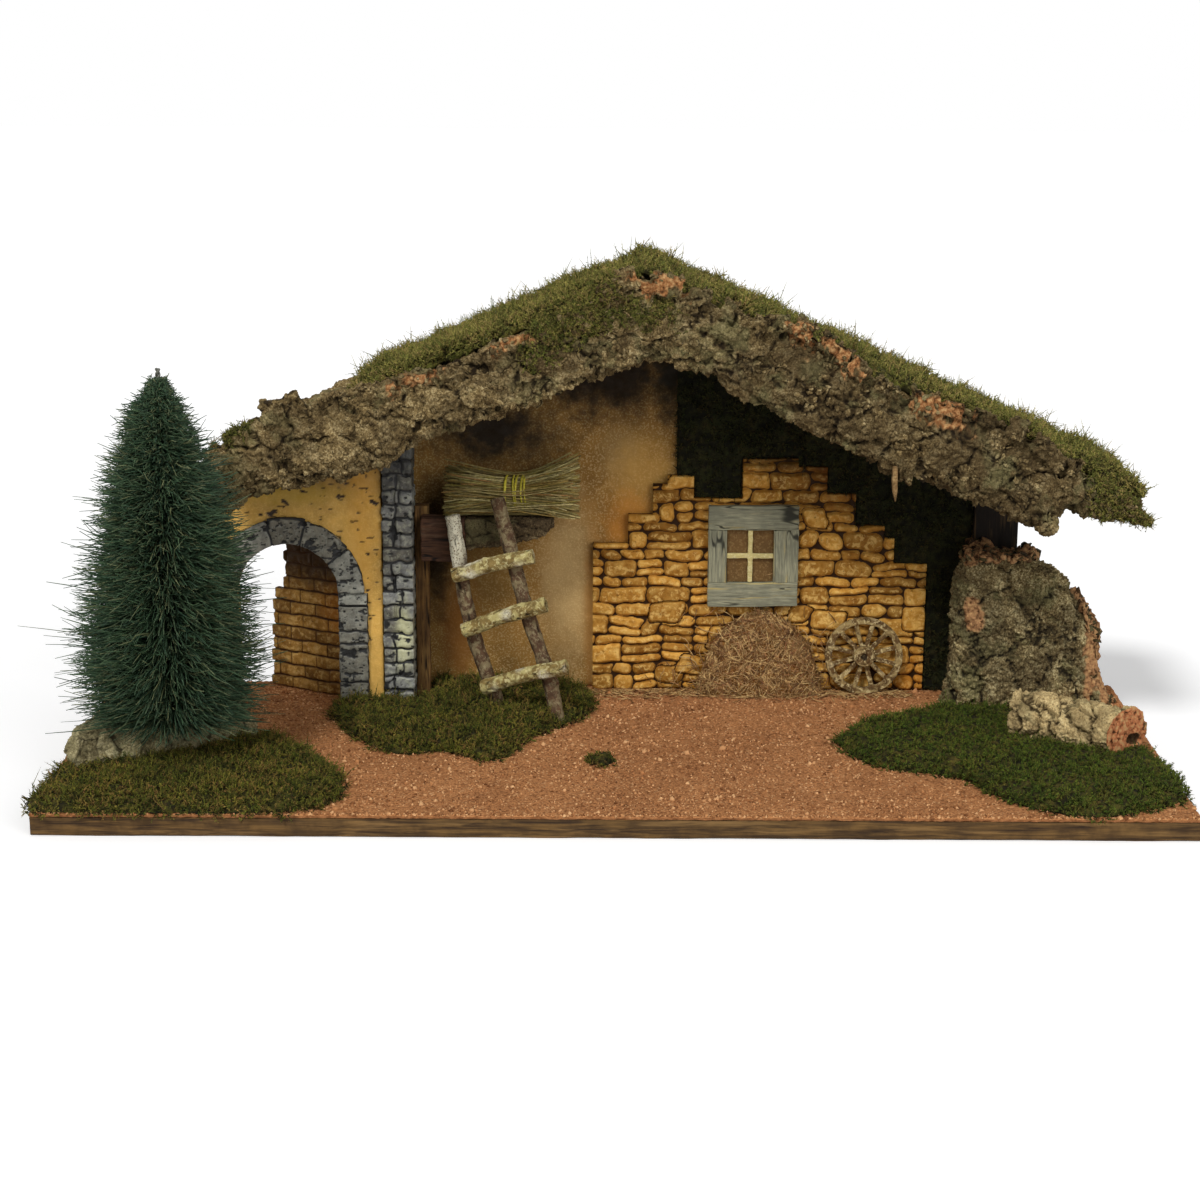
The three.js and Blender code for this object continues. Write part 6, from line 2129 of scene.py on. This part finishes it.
@dataclass
class Cork:
    """The cork stump, the log and the block that the tree stands on."""

    pitch: float = 0.75
    peeled: tuple[Patch, ...] = (
        Patch(243, 80, 7, 14), Patch(240, 117, 5, 5), Patch(226, 143, 8, 7), Patch(262, 146, 15, 10),
        Patch(326, 60, 7, 40), Patch(336, 40, 8, 24))
    torn_flakes: int = 6300
    ring_crack: float = 13.0
    heart: tuple[float, float, float] = (-9.0, 12.0, 12.0)

    def build(self) -> None:
        """Builds the three pieces."""
        self.add_stump()
        self.add_log()
        self.add_block()

    def add_stump(self) -> None:
        """Builds the stump with its torn upper edge and fresh breaks at the right."""
        skin = resurfaced(["cork_stump"], self.pitch, 3)
        box = Box.of("cork_stump")
        height = (skin.z - box.low[2]) / box.size[2]
        torn = ease(0.93, 0.99, height + 0.05 * noise(skin.points, 9, 4))
        cut = np.max([patch.cover(skin.points) for patch in self.peeled] + [torn], axis=0)
        skin.paint(cut=cut * ease(-0.75, -0.45, layered(skin.points, 5, 3, 9)))
        BarkRelief(30, 2.4, 3.0, 2.2, 4.2, 1.3, 1.1, 41, (1.0, 1.0, 0.8)).carve(skin)
        ragged = noise(skin.points * np.array([1, 1, 0]), 9, 5)
        skin.points[:, 2] += ease(0.86, 1.0, height) * (5 * ragged - 1)
        finish = BarkFinish("stump_bark", *shades("3c3221 8a7a56 d8cca0 666642 16110a a07650"), 0.5)
        material = finish.make()
        add_piece("cork_stump_bark", skin, material, ["cork_stump"])

        def on_breaks(places: Array, normals: Array) -> Array:
            """Says where loose flakes stand up."""
            right, _, up = ((places - box.low) / box.size).T
            return (up > 0.93) | ((right + 0.35 * up > 0.98) & (normals[:, 1] < 0.5))

        flakes = Flakes(self.torn_flakes, 2.0, 5.5, 1.3, 0.5, 43).lie(skin, on_breaks)
        flakes.paint(cut=(flakes.values["tone"] > 0.25).astype(float))
        add_piece("cork_stump_flakes", flakes, material, smooth=False)

    def add_log(self) -> None:
        """Builds the log with ring cracks in its bark and its sawn orange end."""
        skin = resurfaced(["cork_log"], 0.7, 2)
        box = Box.of("cork_log")
        along = (skin.x - box.low[0]) / box.size[0]
        face = skin.normals()
        end = ease(0.45, 0.7, face[:, 0] - 0.55 * face[:, 1]) * (along > 0.6)
        skin.paint(cut=end)
        relief = BarkRelief(self.ring_crack, 2.6, 2.2, 0.8, 4.0, 0.7, 0.7, 51, (1.0, 0.22, 0.3))
        relief.carve(skin)
        skin.points[:, 2] = np.maximum(skin.z, GROUND + 0.3)
        heart = np.array([box.high[0], box.low[1], box.low[2]]) + np.array(self.heart)
        spread = np.linalg.norm((skin.points - heart) * np.array([0.6, 0.6, 1]), axis=1)
        hole = end * (1 - ease(3.0, 4.5, spread))
        skin.push(-2.5 * hole)
        # Painted shade in the heart hole: its low value makes the finish paint it dark.
        skin.paint(cavity=np.clip(skin.values["cavity"] - hole, 0, 1))
        finish = BarkFinish("log_bark", *shades("867450 c2ac7e e4d2a2 8a845e 302414 b47048"), 0.35)
        add_piece("cork_log_bark", skin, finish.make(), ["cork_log"])

    def add_block(self) -> None:
        """Builds the grey block under the tree, with its grain upright."""
        skin = resurfaced(["cork_block"], self.pitch, 3)
        BarkRelief(16, 1.4, 2.0, 0.8, 3.6, 0.7, 0.7, 61, (1.3, 1.0, 0.25)).carve(skin)
        skin.points[:, 2] = np.maximum(skin.z, GROUND + 0.2)
        finish = BarkFinish("block_bark", *shades("666148 948c6a bab290 707256 322c1e"))
        add_piece("cork_block_bark", skin, finish.make(), ["cork_block"])


# Fir


@dataclass
class Fir:
    """The bottle-brush fir: twisted wire with dense crinkled bristles."""

    slices: int = 4
    per_slice: int = 5900
    bristle_radius: float = 0.38
    wire_radius: float = 0.9
    wire_turns: float = 30.0
    tuft_ring: float = 18.0
    tuft_size: float = 8.5
    crinkle: float = 1.1

    def outline(self) -> tuple[Array, Array]:
        """Reads how wide the fir is at each height from its solids.

        Returns:
            Heights from its foot, and the reach of the bristles there.
        """
        points = corners_of(*[f"tree_bristles_{k + 1}" for k in range(self.slices)])
        stem = Box.of("tree_stem").middle
        reach = np.hypot(points[:, 0] - stem[0], points[:, 1] - stem[1])
        edges = np.linspace(points[:, 2].min(), points[:, 2].max(), 13)
        middles = (edges[:-1] + edges[1:]) / 2
        widest = [np.percentile(reach[(points[:, 2] >= a) & (points[:, 2] <= b) & (reach > 6)], 90)
                  if b < edges[-1] else 7.0 for a, b in zip(edges[:-1], edges[1:])]
        return middles, np.array(widest)

    def build(self) -> None:
        """Builds the wire and the bristles of each slice."""
        stem = Box.of("tree_stem")
        top = Box.of("tree_bristles_4").high[2]
        self.add_wire(stem, top)
        heights, reach = self.outline()
        # The near-black root colour on the inner part of each bristle is painted shade inside the brush.
        finish = StrandFinish("fir_bristles", shades("223825 365236 506646 2c4836 7c8058"),
                              shade("10180d"), 0.6, 0.65, 0.3).make()
        for k in range(self.slices):
            node = f"tree_bristles_{k + 1}"
            box = Box.of(node)
            low = stem.high[2] - 2 if k == 0 else box.low[2]
            high = top - 6 if k == self.slices - 1 else Box.of(f"tree_bristles_{k + 2}").low[2]
            skin = self.bristles(stem.middle, low, high, heights, reach, 90 + k)
            add_piece(f"fir_bristles_{k + 1}", skin, finish, [node])

    def bristles(self, middle: Array, low: float, high: float, heights: Array, reach: Array,
                 seed: int) -> Skin:
        """Makes the bristles of a slice, clear of the cork block and of the porch behind them.

        Args:
            middle: A point of the stem.
            low: Where the slice starts.
            high: Where it ends.
            heights: Heights of the outline.
            reach: Reach of the outline at these heights.
            seed: Which draw it is.

        Returns:
            The bristles.
        """
        draw = np.random.default_rng(seed)
        count = round(self.per_slice * max(PLENTY, 0.5))
        root = draw.uniform(low, high, count)
        angle = draw.uniform(0, 2 * np.pi, count)
        around = self.tuft_ring * np.stack([np.cos(angle), np.sin(angle)])
        own = cells(np.stack([*around, root], axis=1), self.tuft_size, 7)[1]
        long = np.interp(root, heights, reach) * (0.76 + 0.3 * own)
        long *= draw.uniform(0.62, 1.06, count)
        out = np.stack([np.cos(angle), np.sin(angle), np.zeros(count)], axis=1)
        side = np.stack([-np.sin(angle), np.cos(angle), np.zeros(count)], axis=1)
        share = np.linspace(0, 1, 6)
        rise = draw.normal(0.02, 0.2, count) + 0.3 * (own - 0.5)
        sway = draw.normal(0, 0.3, count)
        droop = draw.normal(-0.02, 0.05, count)
        path = middle * np.array([1, 1, 0]) + np.array([0, 0, 1.0]) * root[:, None]
        steps = long[:, None, None] * (
            out[:, None] * share[:, None] + side[:, None] * (sway[:, None] * share)[..., None])
        steps[..., 2] += long[:, None] * (rise[:, None] * share + droop[:, None] * share**2)
        crinkle = self.crinkle * draw.normal(size=(count, 6, 3)) * share[:, None]
        paths = path[:, None] + steps + crinkle
        floor = Box.of("cork_block").high[2] + 1.5
        paths[..., 2] = np.maximum(paths[..., 2], floor)
        paths[..., 1] = np.minimum(paths[..., 1], Box.of("arch_ring").low[1] - 1)
        taper = np.array([1.0, 1.0, 0.95, 0.9, 0.8, 0.45])
        return tubes(paths, self.bristle_radius * draw.uniform(0.8, 1.3, (count, 1)) * taper, 3)

    def add_wire(self, stem: Box, top: float) -> None:
        """Twists the two wires of the stem.

        Args:
            stem: The stem's foot.
            top: Height of the tip.
        """
        share = np.linspace(0, 1, 240)
        angle = 2 * np.pi * self.wire_turns * share
        height = stem.low[2] + (top + 1 - stem.low[2]) * share
        paths = np.stack([
            np.stack([stem.middle[0] + self.wire_radius * np.cos(angle + turn),
                      stem.middle[1] + self.wire_radius * np.sin(angle + turn), height], axis=1)
            for turn in (0, np.pi)])
        skin = tubes(paths, np.full((2, len(share)), self.wire_radius), 6)
        finish = StrandFinish("twisted_wire", shades("46483e 5c5c50"), shade("282a22"), 0.2, 0.45, 0.6)
        add_piece("fir_twisted_wire", skin, finish.make(), ["tree_stem"])


# Roof


@dataclass(frozen=True)
class Span:
    """A stretch of the front bark, in X, with how far down its face something reaches."""

    left: float
    right: float
    reach: float
    start: float = 0.0


@dataclass
class FrontBark:
    """The thick virgin cork along the front of the roof, with moss spilling over it."""

    pitch: float = 0.72
    chunks: tuple[str, ...] = (
        "front_bark_left_3", "front_bark_left_2", "front_bark_left_1", "front_bark_ridge",
        "front_bark_right_1", "front_bark_right_2", "front_bark_right_3")
    cut_places: tuple[Span, ...] = (
        Span(-146, -112, 0.2, 0.04), Span(-82, -52, 0.16, 0.04), Span(6, 44, 0.2, 0.02),
        Span(108, 124, 0.28, 0.05), Span(130, 152, 0.26, 0.06), Span(186, 222, 0.26, 0.03))
    moss_places: tuple[Span, ...] = (
        Span(-60, 0, 0.5), Span(0, 36, 0.55, 0.3), Span(304, 350, 0.9), Span(-262, -236, 0.14))
    fronds: int = 4800
    loose: int = 5200
    knobs: tuple[tuple[float, float, float], ...] = (
        (258.0, 167.0, 6.0), (277.0, 157.5, 8.5), (226.0, 178.0, 5.0))
    column_width: float = 6.0
    crown_widths: tuple[float, float] = (8.0, 17.0)
    crown_rises: tuple[float, float] = (1.0, 5.5)
    crown_depth: float = 11.0
    crown_peaks: tuple[tuple[float, float, float], ...] = (
        (-216.0, 24.0, 7.0), (16.0, 20.0, 11.0), (128.0, 26.0, 4.0), (204.0, 22.0, 4.0))

    def build(self) -> None:
        """Builds the chunks, their loose flakes and knobs, and the moss on them."""
        material = BarkFinish("virgin_cork").make()
        bark = resurfaced(self.chunks, self.pitch, 2, 0.5, self.crowns())
        depth = self.depth_below_top(bark)
        bark.paint(cut=self.within(bark.points, depth, self.cut_places))
        BarkRelief().carve(bark)
        # Painted shade: the bark grows darker towards the right.
        bark.values["tone"] *= 1 - 0.7 * ease(20, 140, bark.x)
        self.hang_teeth(bark, depth)
        bark.paint(depth=depth)
        boxes = [Box.of(node) for node in self.chunks]
        joints = [(a.high[0] + b.low[0]) / 2 for a, b in zip(boxes[:-1], boxes[1:])]
        ends = [-math.inf, *joints, math.inf]
        for node, left, right in zip(self.chunks, ends[:-1], ends[1:]):
            add_piece(f"{node}_cork", bark.between(left, right), material, [node])
        self.add_loose_bark(bark, material)
        self.add_moss(bark)

    def crowns(self) -> list[Matrix]:
        """Lays out blocks of bark that stand up unevenly along the top, highest at the ridge.

        Returns:
            The matrices that make them from a unit cube.
        """
        rough = resurfaced(self.chunks, 3.0, 0)
        _, top, _ = self.columns(rough.points)
        left = rough.x.min()
        front = rough.y.min()
        draw = np.random.default_rng(61)
        blocks = []
        middle, spread, _ = self.crown_peaks[1]
        x = left + 8
        while x < left + self.column_width * (len(top) - 9):
            ridge = math.exp(-((x - middle) / spread) ** 2)
            wide = draw.uniform(*self.crown_widths) * (1 + 1.8 * ridge)
            column = int((x - left) / self.column_width)
            rise = draw.uniform(*self.crown_rises) + sum(
                high * math.exp(-((x - peak) / reach) ** 2) for peak, reach, high in self.crown_peaks)
            slope = math.atan2(top[column + 1] - top[column - 1], 2 * self.column_width)
            turn = Euler((draw.uniform(-0.2, 0.2), draw.uniform(-0.2, 0.2) - slope, draw.uniform(-0.3, 0.3)))
            place = Vector((x, front + draw.uniform(6, 10), top[column] + rise / 2 - 4)) * MM
            blocks.append(Matrix.LocRotScale(place, turn, Vector((wide, self.crown_depth, rise + 8)) * MM))
            x += wide * draw.uniform(0.9, 1.4)
        return blocks

    def add_loose_bark(self, bark: Skin, material: Material) -> None:
        """Sets loose flakes, a hanging splinter and round knobs on the bark.

        Args:
            bark: The whole bark.
            material: Its finish.
        """
        flakes = Flakes(self.loose, 1.0, 3.4, 1.0, 0.5, 23).lie(
            bark, lambda places, normals: (normals[:, 1] < 0.4) & (noise(places, 14, 3) > -0.3))
        add_piece("front_bark_flakes", flakes, material, smooth=False)
        balls = []
        front = Box.of("front_bark_right_3")
        for x, z, radius in self.knobs:
            middle = np.array([x, front.low[1] + 12, z])
            ball = planed(Box(middle - radius, middle + radius), 0.9, 0.98 * radius)
            BarkRelief(9, 1.2, 1.2, 0.6, 4.0, 1.0, 0.8, int(x)).carve(ball)
            balls.append(ball)
        path = np.array([[[178.0, 15, 196], [177.5, 13, 188], [177.8, 12, 181], [178.2, 11.5, 174]]])
        tooth = tubes(path, np.array([[3.0, 3.4, 3.0, 0.8]]), 7, 0.6)
        tooth.paint(cavity=1.0, cut=0.35)
        add_piece("front_bark_knobs", joined([*balls, tooth]), material)

    def columns(self, points: Array) -> tuple[Array, Array, Array]:
        """Sorts points into upright columns.

        Args:
            points: The points.

        Returns:
            The column that each point is in, and each column's top and foot.
        """
        column = np.round(points[:, 0] / self.column_width).astype(int)
        column -= column.min()
        top = np.full(column.max() + 1, -np.inf)
        foot = -top
        np.maximum.at(top, column, points[:, 2])
        np.minimum.at(foot, column, points[:, 2])
        return column, top, foot

    def depth_below_top(self, skin: Skin) -> Array:
        """Gives how far down the face of the bark each point is, 0 at its top and 1 at its foot."""
        column, top, foot = self.columns(skin.points)
        return (top[column] - skin.z) / (top - foot)[column]

    @staticmethod
    def hang_teeth(skin: Skin, depth: Array) -> None:
        """Lets the crusts hang down unevenly where the depth says that they are the lowest."""
        _, number = cells(wander(skin.points, 9, 3, 5) * np.array([1, 0.6, 0.2]), 9, 17)
        skin.points[:, 2] -= TOOTH * (number - 0.4) * ease(0.62, 1.0, depth)

    @staticmethod
    def within(points: Array, depth: Array, spans: Iterable[Span]) -> Array:
        """Marks the points of some stretches, with uneven borders.

        Args:
            points: The points.
            depth: How far down the face each is.
            spans: The stretches.

        Returns:
            A value from 0 to 1 for each point.
        """
        ragged = layered(points, 6, 4, 2)
        x = points[:, 0] + 10 * ragged
        marked = np.zeros(len(points))
        for span in spans:
            across = ease(span.left - 2, span.left + 2, x) * (1 - ease(span.right - 2, span.right + 2, x))
            down = ease(span.start - 0.03, span.start + 0.03, depth) * (
                1 - ease(span.reach - 0.04, span.reach + 0.04, depth + 0.18 * ragged))
            marked = np.maximum(marked, across * down)
        return marked

    def add_moss(self, bark: Skin) -> None:
        """Grows the moss that spills over the bark.

        Args:
            bark: The whole bark.
        """
        mossy = self.within(bark.points, bark.values["depth"], self.moss_places)
        mossy *= 1 - bark.values["cut"]
        ground = bark.kept(mossy > 0.3)
        finish = MossFinish("edge_moss", *shades("24200c 8e8840 5a6228 987c4e")).make()
        Moss(self.fronds, 4.2, seed=120, stand=0.6, tall_share=0.06).plant(
            "front_bark_moss", ground, finish, 2, lambda p, n: (n[:, 1] < 0.6) | (n[:, 2] > 0.2))


@dataclass
class Roof:
    """The roof boards, the bark sheets on them and the moss on top."""

    low_pitch: float = 1.4
    sheet_pitch: float = 2.2
    moss_pitch: float = 1.9
    fronds: int = 9300
    parts: int = 3
    sprigs: tuple[float, ...] = (-108.0, 72.0, 78.0, 150.0, 214.0, 254.0, 262.0)
    sprig_reach: float = 6.0
    sprig_depth: float = 16.0

    def build(self) -> None:
        """Builds the roof."""
        board = WoodFinish("roof_boarding", *shades("3c2a1a 60462c"), Axis.X, 1.6, shade("785c3e"), 0.25)
        material = board.make()
        for node in ("roof_board_left", "roof_board_right"):
            dress_node(node, material)
        batten = WoodFinish("ridge_wood", *shades("24190f 46321e"), Axis.Y)
        dress_node("ridge_batten", batten.make())
        bark = BarkFinish("roof_bark").make()
        for seed, node in enumerate(("roof_bark_left", "roof_bark_right", "roof_bark_low")):
            low = node == "roof_bark_low"
            skin = resurfaced([node], self.low_pitch if low else self.sheet_pitch, 2)
            BarkRelief(26, 3.0 if low else 1.2, 1.6, 1.5, 6.5, 1.2, 0.8, 140 + seed).carve(skin)
            add_piece(f"{node}_sheet", skin, bark, [node])
        self.add_moss()

    def add_moss(self) -> None:
        """Grows the moss on both slopes, with a few taller sprigs at its front edge."""
        bed_finish = MossFinish("roof_moss_bed", *shades("28240e 746e30 4e5420 786236")).make()
        finish = MossFinish("roof_top_moss", *shades("221f0c aca252 646c2e ae905a")).make()
        for seed, node in enumerate(("roof_moss_left", "roof_moss_right")):
            bed = mossy_bed(node, self.moss_pitch, 3.4, 150 + seed,
                            lambda points, normals: np.ones(len(points), bool))
            add_piece(f"{node}_bed", bed, bed_finish, [node])
            moss = Moss(self.fronds, 5.2, seed=160 + seed, stand=0.6, tall_share=0.08, tall=1.8)
            moss.plant(f"{node}_fronds", bed, finish, self.parts, lambda p, n: n[:, 2] > -0.2)
            front = Box.of(node).low[1] + self.sprig_depth

            def at_sprigs(places: Array, normals: Array) -> Array:
                """Says where the taller sprigs grow."""
                gap = np.abs(places[:, :1] - np.array(self.sprigs)).min(axis=1)
                return (gap < self.sprig_reach) & (places[:, 1] < front) & (normals[:, 2] > 0.4)

            Moss(40000, 11.0, seed=190 + seed, stand=1.5, tall_share=0.3, tall=1.4, leaves=9).plant(
                f"{node}_sprigs", bed, finish, 1, at_sprigs)


# Studio


@dataclass(frozen=True)
class Studio:
    """The camera, the lamps, the white surround and the floor."""

    camera_place: tuple[float, float, float] = (-0.010, -1.540, 0.512)
    camera_tilt: float = 75.4
    camera_roll: float = 0.3
    lens: float = 74.55
    floor_size: float = 12.0
    ambient: float = 0.36
    floor_glow: float = 0.2

    def build(self) -> None:
        """Sets the studio up."""
        self.add_camera()
        self.add_lamp("key_lamp", 48, -28, 2.1, 14)
        self.add_lamp("fill_lamp", 22, 34, 1.0, 40)
        self.add_world()
        self.add_floor()
        bpy.context.scene.view_settings.view_transform = "Standard"

    def add_camera(self) -> None:
        """Places the camera."""
        data = bpy.data.cameras.new("camera")
        data.lens = self.lens
        data.sensor_width = 36.0
        camera = placed("camera", data)
        tilt = Matrix.Rotation(math.radians(self.camera_tilt), 4, "X")
        roll = Matrix.Rotation(math.radians(self.camera_roll), 4, "Z")
        camera.matrix_world = Matrix.Translation(self.camera_place) @ tilt @ roll
        bpy.context.scene.camera = camera

    @staticmethod
    def add_lamp(name: str, height: float, turn: float, strength: float, spread: float) -> None:
        """Hangs a large soft lamp far away.

        Args:
            name: Name of the lamp.
            height: Its angle above the floor, in degrees.
            turn: Its angle to the right of the front, in degrees.
            strength: Its strength.
            spread: How wide it looks from the stable, in degrees.
        """
        data = bpy.data.lights.new(name, "SUN")
        data.energy = strength
        data.angle = math.radians(spread)
        lamp = placed(name, data)
        about_z = Matrix.Rotation(math.radians(turn), 4, "Z")
        about_x = Matrix.Rotation(math.radians(90 - height), 4, "X")
        lamp.matrix_world = about_z @ about_x

    def add_world(self) -> None:
        """Makes the surround white to the eye and softer as a light."""
        world = bpy.data.worlds.new("surround")
        bpy.context.scene.world = world
        r = Recipe(world)
        rays = r.add("ShaderNodeLightPath").outputs
        seen = rays["Is Camera Ray"]
        for kind in ("Is Glossy Ray", "Is Transmission Ray"):
            seen = r.add("ShaderNodeMath", {0: seen, 1: rays[kind]}, operation="MAXIMUM").outputs[0]
        level = r.add("ShaderNodeMapRange", {"Value": seen, "To Min": self.ambient, "To Max": 1.0})
        light = r.add("ShaderNodeBackground", {"Color": (1.0, 1.0, 1.0), "Strength": level.outputs[0]})
        r.add("ShaderNodeOutputWorld", {"Surface": light.outputs[0]})

    def add_floor(self) -> None:
        """Lays the pale floor."""
        half = self.floor_size / 2
        mesh = bpy.data.meshes.new("floor")
        corners = [(-half, -half, 0), (half, -half, 0), (half, half, 0), (-half, half, 0)]
        mesh.from_pydata(corners, [], [(0, 1, 2, 3)])
        r = Recipe("floor")
        diffuse = r.add("ShaderNodeBsdfDiffuse", {"Color": (0.9, 0.9, 0.9)})
        seen = r.add("ShaderNodeLightPath").outputs["Is Camera Ray"]
        glow = r.add("ShaderNodeEmission", {"Strength": r.sum("MULTIPLY", seen, self.floor_glow)})
        both = r.add("ShaderNodeAddShader", {0: diffuse.outputs[0], 1: glow.outputs[0]})
        r.add("ShaderNodeOutputMaterial", {"Surface": both.outputs[0]})
        mesh.materials.append(r.material)
        placed("floor", mesh)


def main() -> None:
    """Builds the stable piece by piece."""
    logging.basicConfig(level=logging.INFO, format="%(name)s: %(message)s")
    parts = (Studio(), Base(), GroundMoss(), RearWall(), StonePanel(), Porch(), Window(), CartWheel(),
             Loft(), Ladder(), StrawHeap(), Cork(), Fir(), FrontBark(), Roof())
    for part in parts:
        LOG.info("building %s", type(part).__name__)
        part.build()


if __name__ == "__main__":
    main()
